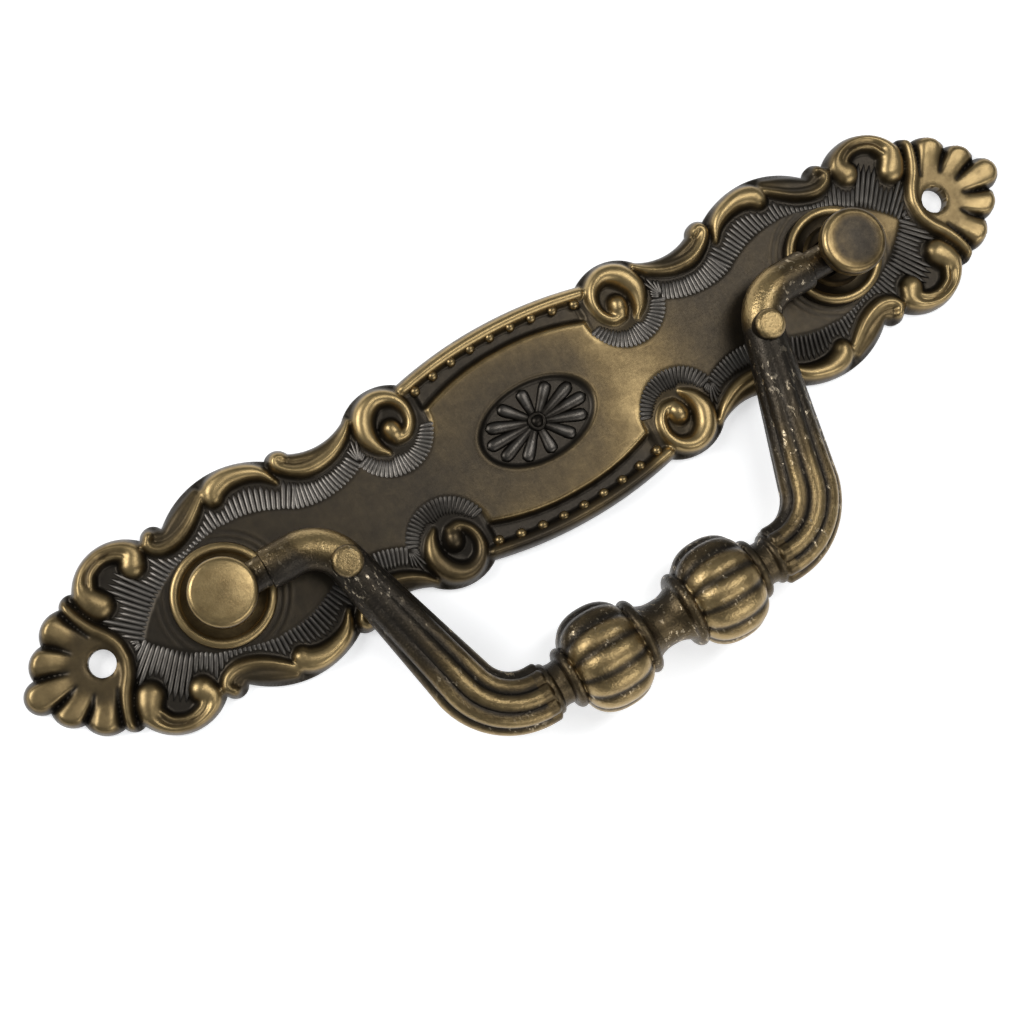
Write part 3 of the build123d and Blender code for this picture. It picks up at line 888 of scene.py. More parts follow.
class DRAWERPULL_OT_rays(bpy.types.Operator):
    """Builds the rays that run from the panel's edge to the scrolls"""

    bl_idname = "drawerpull.rays"
    bl_label = "Rays"

    # Section and ends of a ray
    SIDES = 8
    RINGS = 6
    BLUNTNESS = 4

    # Where rays and fans begin along the plate, the angle between a fan's rays, and how rays lie
    START = 12.6
    FAN_START = 13.0
    FAN_ANGLE = 0.24
    OVERLAP = 0.7
    LIFT = 0.08

    # Width of a ray as a share of the pitch, and its length, which is found in steps
    WIDTH = 1.15
    FAN_WIDTH = 0.75
    SHORTEST = 0.6
    LONGEST = 7.2
    STEP = 0.2

    # How close rays come to the rim and to a volute's eye, and where across a stroke's half width they stop
    RIM_CLEARANCE = 1.0
    EYE_CLEARANCE = 2.3
    STROKE_SHARE = 0.8

    def execute(self, context):
        sizes = context.scene.drawerpull_plate
        roots, outward, size = self.places(sizes)
        source = point_source("ray_roots", roots)
        for label, rows in (("outward", outward), ("size", np.array(size) * MM)):
            attribute = source.data.attributes.new(label, "FLOAT_VECTOR", "POINT")
            attribute.data.foreach_set("vector", np.array(rows, np.float32).ravel())
        tones = slate_tones(context.scene.drawerpull_brass)
        material = aged_brass("ray_slate_brass", tones, mottling=0.6, dullness=0.46)
        run_tree(source, self.tree(material), {"Sides": self.SIDES})
        rays = plain_mesh(source, "panel_rays")
        self.tarnish_and_shade(rays.data)
        finish_piece(rays, material, "plate", "plate_brass")
        return {"FINISHED"}

    def tarnish_and_shade(self, mesh):
        """Takes wear off the rays where the patina is uneven, and as painted shade below the panel."""
        count = len(mesh.vertices)
        places = np.empty(3 * count, np.float32)
        wear = np.empty(count, np.float32)
        mesh.vertices.foreach_get("co", places)
        mesh.attributes["wear"].data.foreach_get("value", wear)
        across, up, _ = places.reshape(-1, 3).T / MM
        wear = wear * patina_and_shade_share(RAY_PATINA_AND_PAINTED_SHADE, across, up)
        mesh.attributes["wear"].data.foreach_set("value", wear.astype(np.float32))

    def places(self, sizes):
        """Roots, directions and sizes of the rays, worked out on one quarter and mirrored."""
        pitch = sizes.ray_pitch / MM
        thickness = 2 * sizes.ray_height / MM
        ground, start_level = sizes.ground / MM, sizes.panel / MM - GROUND_STEP
        roots, outward, size = [], [], []
        for root, aim, length, share in self.quarter_rays(pitch):
            drop = min(GROUND_FALL * length, start_level - ground)
            start = root - aim * self.OVERLAP
            for sx in (1, -1):
                for sy in (1, -1):
                    roots.append((sx * start.real, sy * start.imag, start_level + self.LIFT))
                    outward.append((sx * aim.real * length, sy * aim.imag * length, -drop))
                    size.append((length, pitch * share, thickness))
        return roots, outward, size

    def quarter_rays(self, pitch):
        """Root, direction, length and share of the pitch of each ray along a quarter of the panel."""
        outline = drawn_line(OUTLINE_START, OUTLINE_ARCS, self.STEP)
        rays = []
        for root, aim, share in self.edge_aims(pitch):
            length = self.free_length(root, aim, outline)
            if root.real > self.START and length > self.SHORTEST:
                rays.append((root, aim, length, share))
        return rays

    def edge_aims(self, pitch):
        """Places along the panel's edge and the way out from it, with fans round its corners."""
        aims = []
        start, last = PANEL_START, 1j
        for middle, end in PANEL_ARCS + [(None, None)]:
            if end is None:
                line, aim = [], np.array([1.0])
            else:
                line = np.append(arc_points(start, middle, end, pitch), end)
                aim = 1j * np.diff(line) / abs(np.diff(line))
            turn = np.angle(aim[0] / last)
            blades = 0
            if turn < 0 and start.real > self.FAN_START:
                blades = int(abs(turn) / self.FAN_ANGLE)
            for blade in range(1, blades + 1):
                way = last * np.exp(1j * turn * blade / (blades + 1))
                aims.append((start + way, way, self.FAN_WIDTH))
            aims += [((here + there) / 2, way, self.WIDTH) for here, there, way in zip(line, line[1:], aim)]
            start, last = end, aim[-1]
        return aims

    def free_length(self, root, aim, outline):
        """How far a ray can run before it meets a stroke or the plate's rim."""
        runs = np.arange(self.STEP, self.LONGEST, self.STEP)
        steps = root + aim * runs
        eye = complex(*VOLUTE_EYE[0][:2])
        blocked = signed_distance(steps, outline) > -self.RIM_CLEARANCE
        blocked |= abs(steps - eye) < self.EYE_CLEARANCE
        blocked |= steps.imag < 0
        for rows, _, _ in STROKES:
            near, away, _ = along_stroke(steps, rows)
            blocked[near] |= away < self.STROKE_SHARE
        return runs[blocked.argmax()] if blocked.any() else runs[-1]

    def tree(self, material):
        """Puts a rod on each root, turned and sized by the root's own vectors."""
        tree, nodes, given = geometry_tree("panel_rays", {"Sides": "NodeSocketInt"})

        def at_root(label):
            return nodes.output("GeometryNodeInputNamedAttribute", {"Name": label}, {
                "data_type": "FLOAT_VECTOR"})

        rod = rod_mesh(nodes, given["Sides"], self.RINGS, 0.0, self.BLUNTNESS)
        turn = turn_along(nodes, at_root("outward"))
        close_tree(nodes, material, {
            "Points": given["Geometry"], "Instance": rod, "Rotation": turn, "Scale": at_root("size")})
        return tree


class DRAWERPULL_OT_border_beads(bpy.types.Operator):
    """Builds the rows of beads along the two long edges"""

    bl_idname = "drawerpull.border_beads"
    bl_label = "Border Beads"

    # A row is a shallow parabola
    HALF_LENGTH = 12.2
    MIDDLE = 12.75
    BEND = 0.0105
    LEVEL = 1.8
    POINTS = 25

    def execute(self, context):
        sizes = context.scene.drawerpull_plate
        across = np.linspace(-self.HALF_LENGTH, self.HALF_LENGTH, self.POINTS)
        row = np.stack([across, self.MIDDLE - self.BEND * across ** 2, np.full(self.POINTS, self.LEVEL)], 1)
        edges = [(here, here + 1) for here in range(2 * self.POINTS - 1) if here != self.POINTS - 1]
        source = point_source("border_lines", np.vstack([row, row * (1, -1, 1)]), edges)
        material = aged_brass("bead_buffed_brass", gilt_tones(context.scene.drawerpull_brass), buffing=0.7)
        run_tree(source, self.tree(material), {
            "Count": sizes.border_beads, "Radius": sizes.border_bead_radius})
        beads = plain_mesh(source, "border_beads")
        finish_piece(beads, material, "plate", "plate_brass")
        return {"FINISHED"}

    def tree(self, material):
        """Spreads balls evenly along each line."""
        tree, nodes, given = geometry_tree("border_beads", {
            "Count": "NodeSocketInt", "Radius": "NodeSocketFloat"})
        line = nodes.output("GeometryNodeMeshToCurve", {"Mesh": given["Geometry"]})
        spots = nodes.output("GeometryNodeResampleCurve", {"Curve": line, "Count": given["Count"]})
        ball = nodes.output("GeometryNodeMeshIcoSphere", {"Radius": given["Radius"], "Subdivisions": 3})
        close_tree(nodes, material, {"Points": spots, "Instance": ball})
        return tree


class DRAWERPULL_OT_rosette(bpy.types.Operator):
    """Builds the petals and the button of the rosette"""

    bl_idname = "drawerpull.rosette"
    bl_label = "Rosette"

    # Petals, their distance from the rim of the recess, and the ball and hoop in the middle
    PETAL_WIDTH = 2.1
    PETAL_HEIGHT = 1.2
    END_MARGIN = 0.8
    SIDE_MARGIN = 0.6
    BUTTON = 1.0
    HOOP_WIRE = 0.32
    HOOP_LEVEL = 0.45

    def execute(self, context):
        sizes = context.scene.drawerpull_plate
        floor = (sizes.panel - sizes.rosette_depth) / MM
        source = point_source("rosette_centre", [(0, 0, floor)])
        tones = slate_tones(context.scene.drawerpull_brass)
        material = aged_brass("rosette_slate_brass", tones, buffing=-0.45, grain=0.8)
        run_tree(source, self.tree(material), {
            "Petals": sizes.petals, "Half Length": sizes.rosette_length - self.END_MARGIN * MM,
            "Half Width": sizes.rosette_width - self.SIDE_MARGIN * MM, "Petal Width": self.PETAL_WIDTH * MM,
            "Petal Height": self.PETAL_HEIGHT * MM, "Button": self.BUTTON * MM})
        rosette = plain_mesh(source, "rosette_petals")
        finish_piece(rosette, material, "plate", "plate_brass")
        return {"FINISHED"}

    def tree(self, material):
        """Petals round an oval, with a ball and a hoop in the middle."""
        lengths = ("Half Length", "Half Width", "Petal Width", "Petal Height", "Button")
        tree, nodes, given = geometry_tree("rosette_petals", {
            "Petals": "NodeSocketInt", **{label: "NodeSocketFloat" for label in lengths}})
        ring = nodes.output("GeometryNodeMeshCircle", {"Vertices": given["Petals"], "Radius": 1.0})
        place = nodes.output("GeometryNodeInputPosition")
        oval = nodes.output("ShaderNodeCombineXYZ", {0: given["Half Length"], 1: given["Half Width"]})
        tip = nodes.output("ShaderNodeVectorMath", {0: place, 1: oval}, {"operation": "MULTIPLY"})
        length = nodes.value("ShaderNodeVectorMath", {0: tip}, {"operation": "LENGTH"}, "Value")
        turn = turn_along(nodes, tip)
        scale = nodes.output("ShaderNodeCombineXYZ", {
            0: length, 1: given["Petal Width"], 2: given["Petal Height"]})
        rod = rod_mesh(nodes, sides=12, rings=20, taper=0.6, bluntness=3)
        spread = nodes.output("GeometryNodeInstanceOnPoints", {
            "Points": ring, "Instance": rod, "Rotation": turn, "Scale": scale})
        middle = nodes.output("FunctionNodeInputVector", settings={"vector": (0, 0, 0)})
        home = nodes.output("GeometryNodeSetPosition", {"Geometry": spread, "Position": middle})
        loop = nodes.output("GeometryNodeCurvePrimitiveCircle", {
            "Resolution": 32, "Radius": given["Button"]})
        wire = nodes.output("GeometryNodeCurvePrimitiveCircle", {
            "Resolution": 10, "Radius": self.HOOP_WIRE * MM})
        hoop = nodes.output("GeometryNodeCurveToMesh", {"Curve": loop, "Profile Curve": wire})
        above = nodes.output("GeometryNodeTransform", {
            "Geometry": hoop, "Translation": (0, 0, self.HOOP_LEVEL * MM)})
        ball = nodes.output("GeometryNodeMeshUVSphere", {
            "Segments": 24, "Rings": 12, "Radius": given["Button"]})
        flower = nodes.add("GeometryNodeJoinGeometry").inputs[0]
        for part in (home, above, ball):
            tree.links.new(part, flower)
        close_tree(nodes, material, {"Points": given["Geometry"], "Instance": flower.node.outputs[0]})
        return tree


class DRAWERPULL_OT_posts(bpy.types.Operator):
    """Builds the two posts and the dished collars round their feet"""

    bl_idname = "drawerpull.posts"
    bl_label = "Posts and Collars"

    # Wear of the head's face and of the dish, and by what share more their left side has
    HEAD_RUB = {"left": (0.9, 0.0), "right": (0.13, 0.95)}
    DISH_RUB = {"left": (0.6, 0.0), "right": (0.3, -0.3)}

    # Post, from its riveted tail to its head
    TAIL = 2.4
    TAIL_HEIGHT = 0.6
    SHANK = 1.6
    FOOT = 3.0
    FLARE = 0.6
    NECK_INSET = 0.7
    HEAD_RISE = 2.6
    HEAD_ROLL = 0.8
    CROWN = 0.15
    PIN_HOLE = 2.35
    PIN_HOLE_DEPTH = 3.6
    POST_SEGMENTS = 96

    # Collar, with its rim an ellipse and its dish a parabola
    BORE = 1.7
    FLOOR = 0.8
    RIM_INSET = 0.7
    RIM_HALF = 0.65
    RIM_HEIGHT = 0.4
    DISH_START = 0.35
    DISH_WIDTH = 1.65
    DISH_DEPTH = 0.4
    COLLAR_SEGMENTS = 120

    def execute(self, context):
        tones = gilt_tones(context.scene.drawerpull_brass)
        post_brass = aged_brass("post_satin_brass", tones, grain=0.6)
        collar_brass = aged_brass("collar_rubbed_brass", tones, mottling=0.6)
        for side in ("left", "right"):
            low, high = (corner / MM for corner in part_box(f"{side}_post"))
            centre = ((low + high) / 2).x
            post = self.post(side, low, high, centre)
            finish_piece(post, post_brass, "plate", "post_brass", f"{side}_post")
            low, high = (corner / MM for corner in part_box(f"{side}_collar"))
            collar = self.collar(side, low, high, centre)
            finish_piece(collar, collar_brass, "plate", "collar_brass", f"{side}_collar")
        return {"FINISHED"}

    def post(self, side, low, high, centre):
        """Turned post with a flared foot, a rounded head and a hole for the bail's pin."""
        shine, left_rub = self.HEAD_RUB[side]
        foot_rub, _ = self.DISH_RUB[side]
        head = (high.x - low.x) / 2
        face = head - self.HEAD_ROLL
        neck = head - self.NECK_INSET
        top, foot = high.z, self.FOOT
        under = PIVOT_HEIGHT + self.HEAD_RISE
        tail_top = low.z + self.TAIL_HEIGHT
        profile = [
            (0, low.z, HIDDEN_WEAR), (self.TAIL - 0.1, low.z, HIDDEN_WEAR),
            (self.TAIL, low.z + 0.1, HIDDEN_WEAR), (self.TAIL, tail_top, HIDDEN_WEAR),
            (self.SHANK, tail_top, HIDDEN_WEAR), (self.SHANK, foot, HIDDEN_WEAR),
            (neck + self.FLARE, foot + 0.1, foot_rub), (neck + self.FLARE, foot + 0.45, 1.5 * foot_rub),
            (neck + self.FLARE / 2, foot + 0.8, foot_rub), (neck, foot + 1.2, foot_rub / 2),
            (neck, under - 0.3, 0.2), (neck + 0.15, under, 0.3),
            (head - 0.2, under + 0.05, 0.5), (head, under + 0.3, 0.7),
        ]
        for angle in np.linspace(0, pi / 2, 12):
            level = top - self.CROWN - self.HEAD_ROLL * (1 - sin(angle))
            rubbed = 0.2 + (0.3 + 0.6 * shine) * sin(angle)
            profile.append((face + self.HEAD_ROLL * cos(angle), level, rubbed))
        profile += [
            (face - 0.15, top - 0.12, 0.35 + 0.6 * shine), (face - 0.6, top - 0.09, 0.12 + 0.88 * shine),
            (face - 1.1, top - 0.06, shine), (face / 2, top - 0.02, 0.9 * shine), (0, top, 0.75 * shine),
        ]
        post = lathe(f"{side}_turned_post", profile, centre, self.POST_SEGMENTS, left_rub=left_rub)
        return self.drilled(post, centre - np.sign(centre) * neck)

    def drilled(self, post, mouth):
        """Post with a blind hole along x, centred on its mouth."""
        radius, depth = self.PIN_HOLE, self.PIN_HOLE_DEPTH
        outline = [(0, -depth, 0), (radius, -depth, 0), (radius, depth, 0), (0, depth, 0)]
        cutter = lathe("pin_hole", outline, 0, 48)
        place = Matrix.Translation((mouth * MM, 0, PIVOT_HEIGHT * MM))
        cutter.data.transform(place @ Matrix.Rotation(pi / 2, 4, "Y"))
        hole = post.modifiers.new("pin_hole", "BOOLEAN")
        hole.object = cutter
        hole.operation = "DIFFERENCE"
        cut = plain_mesh(post, post.name)
        bpy.data.objects.remove(cutter)
        return cut

    def collar(self, side, low, high, centre):
        """Dished ring with a rolled rim."""
        dish_rub, left_rub = self.DISH_RUB[side]
        outer = (high.x - low.x) / 2
        top = high.z
        profile = [
            (self.BORE, low.z, HIDDEN_WEAR), (outer - 0.15, low.z, HIDDEN_WEAR), (outer, low.z + 0.15, 0.2),
            (outer, top - 0.5, 0.5),
        ]
        for angle in np.linspace(0.05, 0.95, 9) * pi:
            radius = outer - self.RIM_INSET + self.RIM_HALF * cos(angle)
            profile.append((radius, top - self.RIM_HEIGHT * (1 - sin(angle)), 0.5 + 0.35 * sin(angle)))
        dish = outer - self.RIM_INSET - self.RIM_HALF
        for share in np.linspace(0.05, 1, 10):
            dip = self.DISH_START + self.DISH_DEPTH * (1 - (1 - share) ** 2)
            profile.append((dish - share * self.DISH_WIDTH, top - dip, dish_rub))
        profile.append((self.BORE, low.z + self.FLOOR, dish_rub))
        name = f"{side}_dished_collar"
        return lathe(name, profile, centre, self.COLLAR_SEGMENTS, closed=True, left_rub=left_rub)


def lathe(name, profile, centre, segments, closed=False, left_rub=0.0):
    """Turned solid on an upright axis at x = centre, from rows of radius, height and wear."""
    rows = np.array(profile, float)
    angles = np.linspace(0, 2 * pi, segments, endpoint=False)
    radii = rows[:, :1]
    levels = np.broadcast_to(rows[:, 1:2], (len(rows), segments))
    points = np.stack([centre + radii * np.cos(angles), radii * np.sin(angles), levels], 2).reshape(-1, 3)
    wear = (rows[:, 2:] * (1 + left_rub * np.clip(-np.cos(angles), 0, 1))).ravel()
    rings = np.arange(len(points)).reshape(len(rows), segments).tolist()
    above = rings[1:] + rings[:1] if closed else rings[1:]
    faces = [face for low, high in zip(rings, above) for face in wall(high, low)]
    piece = mesh_object(name, points, faces, wear)
    shape = bmesh.new()
    shape.from_mesh(piece.data)
    bmesh.ops.remove_doubles(shape, verts=shape.verts, dist=1e-7)
    bmesh.ops.dissolve_degenerate(shape, edges=shape.edges, dist=1e-7)
    bmesh.ops.recalc_face_normals(shape, faces=shape.faces)
    shape.to_mesh(piece.data)
    shape.free()
    return piece


class DRAWERPULL_OT_bail(bpy.types.Operator):
    """Builds the bail: grip with melon beads, reeded arms, elbows, pins and pegs"""

    bl_idname = "drawerpull.bail"
    bl_label = "Bail"

    # Run of the bail in its own plane, its radii, and the points round it
    LEAN = radians(14.2)
    SHOULDER = 40.7
    PIN_END = 46.0
    BAR_RUN = 8.2
    ELBOW = 5.5
    BEND = 8.0
    BAR = 2.7
    PIN = 2.1
    ARM = 4.1
    ROUND = 108

    # Half of the grip: spool, melon bead, neck, and its rings by middle, half width, core and rise
    SPOOL = 3.2
    SPOOL_FLARE = 1.1
    SPOOL_REACH = 3.0
    SPOOL_END = 4.2
    BEAD_MIDDLE = 8.7
    BEAD_HALF = 4.75
    BEAD_CORE = 3.6
    LOBE_DEPTH = 0.75
    NECK = 2.95
    NECK_START = 13.2
    NECK_MIDDLE = 15.6
    GRIP_RINGS = [(3.5, 0.85, 4.2, 1.0), (14.0, 0.8, 3.3, 0.9), (16.9, 0.6, 2.9, 0.65)]

    # Rounded end of the arm where it meets the grip
    ARM_START = 1.5
    ARM_ROUNDING = 0.7
    ARM_MOUTH = 0.72

    # Stretches of the grip by their starts, the stations along each, and those along the rest of the bail
    STRETCHES = [0, 2.2, 4.1, 13.3]
    STATIONS = [6, 20, 46, 46]
    BEND_STATIONS = 34
    ARM_STATIONS = 60
    ELBOW_STATIONS = 24

    # Pegs on the elbows, the right one worn brighter
    PEG = 2.1
    PEG_RISE = 1.3
    PEG_ROUND = 40
    PEG_RUB = {1: 0.95, -1: 0.7}

    # Where the arms turn into elbows, from the grip towards the swing axis
    ELBOW_START = -12.0
    ELBOW_FULL = -4.0

    def execute(self, context):
        sizes = context.scene.drawerpull_bail
        self.reach = sizes.reach / MM
        self.bead = sizes.bead_radius / MM
        self.lobes = sizes.bead_lobes
        self.reeds = sizes.arm_reeds
        self.depth = sizes.reed_depth / MM
        self.around = np.arange(self.ROUND) * 2 * pi / self.ROUND
        points, wear, faces = self.tube(*self.half())
        for sign in (1, -1):
            self.add_peg(points, wear, faces, sign)
        bail = mesh_object("melon_bead_bail", points, faces, wear)
        tones = gilt_tones(context.scene.drawerpull_brass)
        # The bail's arms carry painted glints
        material = aged_brass("bail_cast_brass", tones, mottling=0.75, grain=1.6, painted_glints=0.9, hammer=0.6)
        finish_piece(bail, material, "handle", "bail_brass", "bail")
        return {"FINISHED"}

    def corners(self):
        """Centres of the elbow and the bend, the turn that each makes, and the place where the arm ends."""
        turn = pi / 2 - self.LEAN
        corner = self.SHOULDER - self.BAR_RUN
        foot = complex(corner, 0) + self.reach / cos(self.LEAN) * complex(-sin(self.LEAN), -cos(self.LEAN))
        elbow = complex(corner + self.ELBOW * tan(turn / 2), -self.ELBOW)
        bend = foot + complex(-self.BEND * tan(turn / 2), self.BEND)
        return elbow, bend, turn, elbow + self.ELBOW * complex(-sin(turn), cos(turn))

    def half(self):
        """Stations from the middle of the grip to the end of the right pin: place, heading, radii and rub."""
        elbow, bend, turn, arm_end = self.corners()
        plain = np.ones(self.ROUND)
        stations = []
        for x in self.grip_stations(bend.real):
            stations.append((complex(x, -self.reach), 0.0, *self.grip_radius(x, bend.real)))
        for angle in np.linspace(0, turn, self.BEND_STATIONS)[1:]:
            place = bend + self.BEND * complex(sin(angle), -cos(angle))
            stations.append((place, angle, *self.arm_radius(0.0)))
        start = stations[-1][0]
        for share in np.linspace(0, 1, self.ARM_STATIONS)[1:]:
            stations.append((start + (arm_end - start) * share, turn, *self.arm_radius(share)))
        for angle in np.linspace(turn, 0, self.ELBOW_STATIONS)[1:]:
            place = elbow + self.ELBOW * complex(-sin(angle), cos(angle))
            # The elbow's rub peaks round the outside of its bend: partly wear, partly a painted sheen
            rubbed = 0.38 + 0.62 * sin(pi * angle / turn)
            stations.append((place, angle, plain * self.BAR, plain * rubbed))
        # The bar's rub is partly a painted sheen
        for x, radius in self.bar_end(elbow.real):
            stations.append((complex(x, 0), 0.0, plain * radius, plain * 0.36))
        return [np.array(column) for column in zip(*stations)]

    def bar_end(self, start):
        """Places and radii along the straight bar, its shoulder and the pin."""
        bar, shoulder, pin, tip = self.BAR, self.SHOULDER, self.PIN, self.PIN_END
        return [
            (start + 0.6, bar), (start + 1.6, bar), (shoulder - 0.25, bar), (shoulder - 0.07, bar - 0.08),
            (shoulder, bar - 0.25), (shoulder + 0.03, pin + 0.05), (shoulder + 0.2, pin), (tip - 0.2, pin),
            (tip, pin - 0.2),
        ]

    def grip_stations(self, arm_end):
        """Places along the grip, closer together where its shape turns."""
        ends = self.STRETCHES[1:] + [arm_end]
        runs = [np.linspace(start, end, count, endpoint=False)
                for start, end, count in zip(self.STRETCHES, ends, self.STATIONS)]
        return np.append(np.concatenate(runs), arm_end)

    def groove(self, count, sharpness):
        """0 on the crest of a lobe and 1 in the groove between two."""
        return 1 - abs(np.cos((self.around - pi / 2) * count / 2)) ** sharpness

    def ring(self, x, middle, half, core, rise):
        """Radius of a rounded ring, or 0 beside it."""
        share = (x - middle) / half
        return core + rise * np.sqrt(1 - share * share) if abs(share) < 1 else 0.0

    def grip_radius(self, x, arm_end):
        """Radius and rub of the grip at one place, where the largest of its forms shows."""
        plain = max(self.ring(x, *row) for row in self.GRIP_RINGS)
        if x < self.SPOOL_END:
            plain = max(plain, self.SPOOL + self.SPOOL_FLARE * min(1.0, (x / self.SPOOL_REACH) ** 2.6))
        if x > self.NECK_START:
            plain = max(plain, self.NECK + 0.12 * min(1.0, abs(x - self.NECK_MIDDLE)))
        share = (x - self.BEAD_MIDDLE) / self.BEAD_HALF
        bead = np.zeros(self.ROUND)
        groove = self.groove(self.lobes, 0.5)
        if abs(share) < 1:
            swell = (1 - abs(share) ** 2.3) ** 0.5
            lobed = self.LOBE_DEPTH * (0.35 + 0.65 * swell) * groove
            bead = self.BEAD_CORE + (self.bead - self.BEAD_CORE) * swell - lobed
        arm = np.zeros(self.ROUND)
        into = x - (arm_end - self.ARM_START)
        if into > 0:
            cap = np.sqrt(1 - (1 - min(1.0, into / self.ARM_ROUNDING)) ** 2)
            arm = self.arm_radius(0.0)[0] * (self.ARM_MOUTH + (1 - self.ARM_MOUTH) * cap)
        radius = np.maximum(np.maximum(plain, bead), arm)
        rubbed = np.where(radius == bead, (1 - groove) ** 1.6, np.where(radius == arm, 0.5, 0.38))
        return radius, rubbed

    def arm_radius(self, rise):
        """Radius and rub of the arm, from its foot at 0 to the elbow at 1."""
        size = self.ARM + (self.BAR - self.ARM) * rise
        fade = (1 - rise) ** 1.2
        groove = self.groove(self.reeds, 0.9)
        radius = size - self.depth * fade * groove
        return radius, (0.12 + 0.66 * (1 - rise) ** 3) * (1 - groove * (0.3 + 0.7 * fade))

    def tube(self, places, headings, radii, rub):
        """Skin of both halves of the bail, closed at the ends of the pins."""
        places = np.concatenate([-np.conj(places[:0:-1]), places])
        headings = np.concatenate([-headings[:0:-1], headings])
        radii = np.vstack([radii[:0:-1], radii])
        rub = np.vstack([rub[:0:-1], rub])
        side = -1j * np.exp(1j * headings)
        out = side[:, None] * np.cos(self.around)
        flat = places[:, None] + radii * out
        lift = PIVOT_HEIGHT + radii * np.sin(self.around)
        rub = self.favoured(rub, places, out)
        points = np.stack([flat.real, flat.imag, lift], 2).reshape(-1, 3).tolist()
        rings = np.arange(radii.size).reshape(radii.shape).tolist()
        faces = [face for low, high in zip(rings, rings[1:]) for face in wall(low, high)]
        faces += [tuple(rings[0]), tuple(rings[-1][::-1])]
        return points, rub.ravel().tolist(), faces

    def favoured(self, rub, places, out):
        """Rub on the front of the grip, and on the upper edge of the elbows as wear and a painted sheen, and
        little of it elsewhere.
        """
        elbow = step_up(places.imag, self.ELBOW_START, self.ELBOW_FULL)[:, None]
        facing = (0.62 - 0.22 * elbow) * np.sin(self.around) + (1.65 * elbow - 0.75) * out.imag
        turned = step_up(facing - 0.35 * elbow, -0.55, 0.5)
        return np.clip(rub * (0.25 + (0.75 + 0.2 * elbow) * turned), 0, 1)

    def add_peg(self, points, wear, faces, sign):
        """Upright peg with a flat worn end on the right elbow, or with sign -1 on the left one."""
        _, _, _, place = self.corners()
        top = PIVOT_HEIGHT + self.BAR + self.PEG_RISE
        shine = self.PEG_RUB[sign]
        profile = [(self.PEG, PIVOT_HEIGHT, 0.15), (self.PEG, top - 1.1, 0.2)]
        for angle in np.linspace(0, pi / 2, 8)[:-1]:
            level = top - 0.9 + 0.9 * sin(angle)
            profile.append((self.PEG - 0.8 + 0.8 * cos(angle), level, 0.2 + (shine - 0.2) * sin(angle)))
        profile += [(1.2, top, shine), (0.6, top - 0.03, shine)]
        rings = []
        for radius, level, rubbed in profile:
            rings.append(list(range(len(points), len(points) + self.PEG_ROUND)))
            for angle in np.arange(self.PEG_ROUND) * 2 * pi / self.PEG_ROUND:
                x = sign * (place.real + radius * cos(angle))
                points.append((x, place.imag + radius * sin(angle), level))
                wear.append(rubbed)
        for low, high in zip(rings, rings[1:]):
            faces += wall(high, low) if sign > 0 else wall(low, high)
        faces.append(tuple(rings[-1][::sign]))
        faces.append(tuple(rings[0][::-sign]))


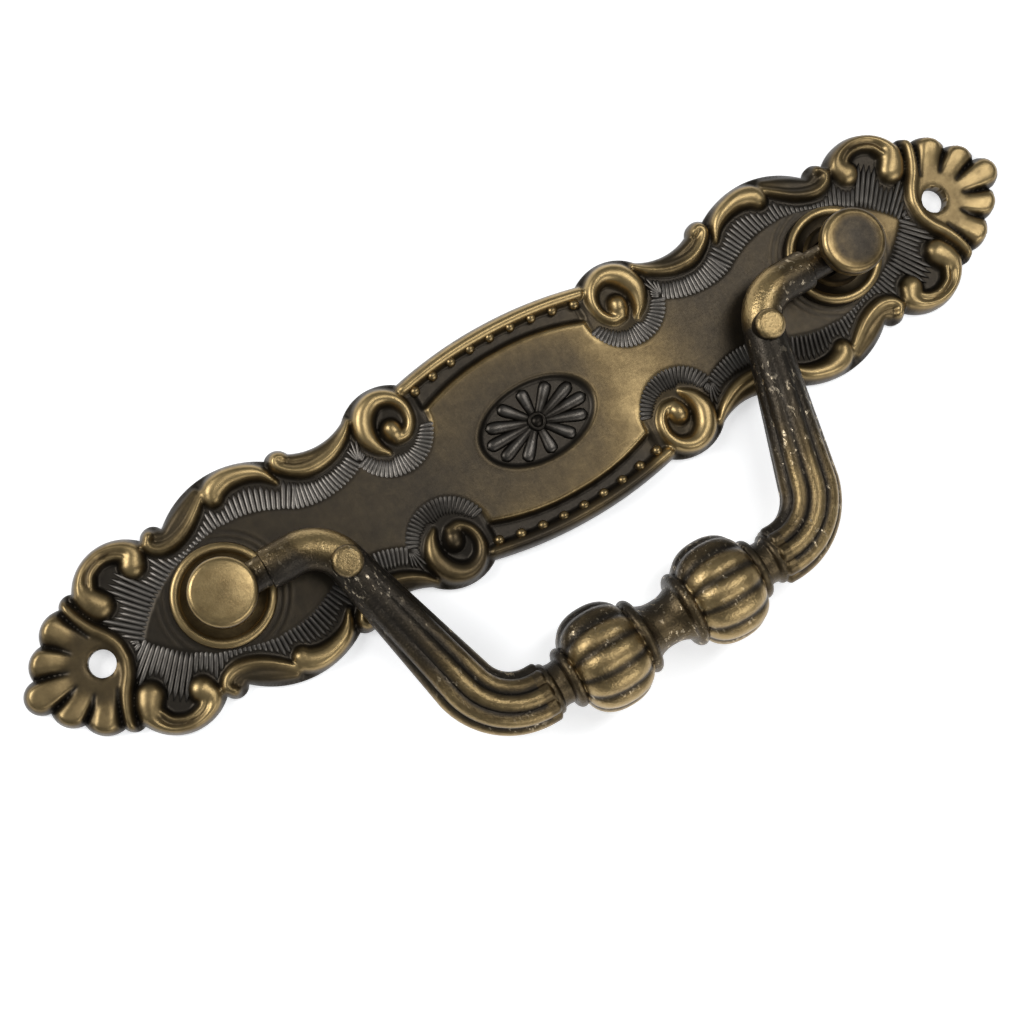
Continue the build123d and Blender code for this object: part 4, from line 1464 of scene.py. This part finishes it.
class DRAWERPULL_OT_stage(bpy.types.Operator):
    """Builds the pale floor, the soft lights and the camera"""

    bl_idname = "drawerpull.stage"
    bl_label = "Stage"

    # Camera fitted to the photo
    EYE = Vector((-48.92, -11.48, 234.28)) * MM
    RIGHT = Vector((0.857647, -0.494268, 0.141918))
    UP = Vector((0.485455, 0.869235, 0.093618))
    FOCAL_SHARE = 1800 / 1024
    SENSOR = 36.0

    # Sky and floor
    SKY_COLOUR = (0.9, 0.95, 1.0, 1.0)
    SKY_STRENGTH = 0.25
    FLOOR_HALF = 1.5
    FLOOR_LEVEL = -0.00005

    def execute(self, context):
        settings = context.scene.drawerpull_stage
        self.floor(settings)
        self.camera(context)
        self.world(context)
        self.lamp("key_softbox", (-0.36, 0.30, 0.36), 0.30, 0.30, settings.key_power)
        self.lamp("top_strip", (0.17, 0.03, 0.42), 0.10, 0.34, settings.top_power)
        self.lamp("front_fill", (0.10, -0.42, 0.30), 0.40, 0.24, settings.fill_power)
        context.scene.view_settings.view_transform = "Standard"
        return {"FINISHED"}

    def floor(self, settings):
        half, level = self.FLOOR_HALF, self.FLOOR_LEVEL
        corners = [(-half, -half, level), (half, -half, level), (half, half, level), (-half, half, level)]
        mesh = bpy.data.meshes.new("pale_floor")
        mesh.from_pydata(corners, [], [(0, 1, 2, 3)])
        floor = linked("pale_floor", mesh)
        material, nodes = empty_material("pale_floor_paper")
        place = nodes.add("ShaderNodeTexCoord").outputs["Object"]
        grain = nodes.value("ShaderNodeTexNoise", {"Vector": place, "Scale": 400.0}, output="Fac")
        shader = nodes.add("ShaderNodeBsdfPrincipled", {
            "Base Color": (*settings.floor_colour, 1.0), "Roughness": 0.85 + grain * 0.1,
            "Emission Color": (1.0, 1.0, 1.0, 1.0), "Emission Strength": settings.floor_glow})
        nodes.add("ShaderNodeOutputMaterial", {"Surface": shader.outputs[0]})
        floor.data.materials.append(material)

    def camera(self, context):
        lens = bpy.data.cameras.new("photo_camera")
        lens.sensor_width = self.SENSOR
        lens.lens = self.SENSOR * self.FOCAL_SHARE
        lens.clip_start = 0.01
        back = self.RIGHT.cross(self.UP)
        turn = Matrix((self.RIGHT, self.UP, back)).transposed().to_4x4()
        camera = linked("photo_camera", lens)
        camera.matrix_world = Matrix.Translation(self.EYE) @ turn
        context.scene.camera = camera

    def world(self, context):
        world = bpy.data.worlds.new("studio")
        world.use_nodes = True
        sky = world.node_tree.nodes["Background"].inputs
        sky["Color"].default_value = self.SKY_COLOUR
        sky["Strength"].default_value = self.SKY_STRENGTH
        context.scene.world = world

    def lamp(self, name, place, width, height, power):
        light = bpy.data.lights.new(name, "AREA")
        light.shape = "RECTANGLE"
        light.size = width
        light.size_y = height
        light.energy = power
        lamp = linked(name, light)
        lamp.location = place
        lamp.rotation_euler = (-Vector(place)).to_track_quat("-Z", "Y").to_euler()


class DRAWERPULL_PT_panel(bpy.types.Panel):
    """Lists the pieces of the drawer pull"""

    bl_idname = "DRAWERPULL_PT_panel"
    bl_label = "Drawer Pull"
    bl_space_type = "VIEW_3D"
    bl_region_type = "UI"
    bl_category = "Drawer Pull"

    def draw(self, context):
        column = self.layout.column()
        for operator in OPERATORS:
            column.operator(operator.bl_idname)


GROUPS = {
    "drawerpull_plate": PlateSizes,
    "drawerpull_bail": BailSizes,
    "drawerpull_brass": BrassColours,
    "drawerpull_stage": StageSettings,
}
OPERATORS = [
    DRAWERPULL_OT_backplate, DRAWERPULL_OT_rays, DRAWERPULL_OT_border_beads, DRAWERPULL_OT_rosette,
    DRAWERPULL_OT_posts, DRAWERPULL_OT_bail, DRAWERPULL_OT_stage,
]


def register():
    for name, group in GROUPS.items():
        bpy.utils.register_class(group)
        setattr(bpy.types.Scene, name, bpy.props.PointerProperty(type=group))
    for kind in OPERATORS + [DRAWERPULL_PT_panel]:
        bpy.utils.register_class(kind)


def unregister():
    for kind in reversed(OPERATORS + [DRAWERPULL_PT_panel]):
        bpy.utils.unregister_class(kind)
    for name, group in GROUPS.items():
        delattr(bpy.types.Scene, name)
        bpy.utils.unregister_class(group)


def main():
    register()
    for operator in OPERATORS:
        group, name = operator.bl_idname.split(".")
        getattr(getattr(bpy.ops, group), name)()


if __name__ == "__main__":
    main()
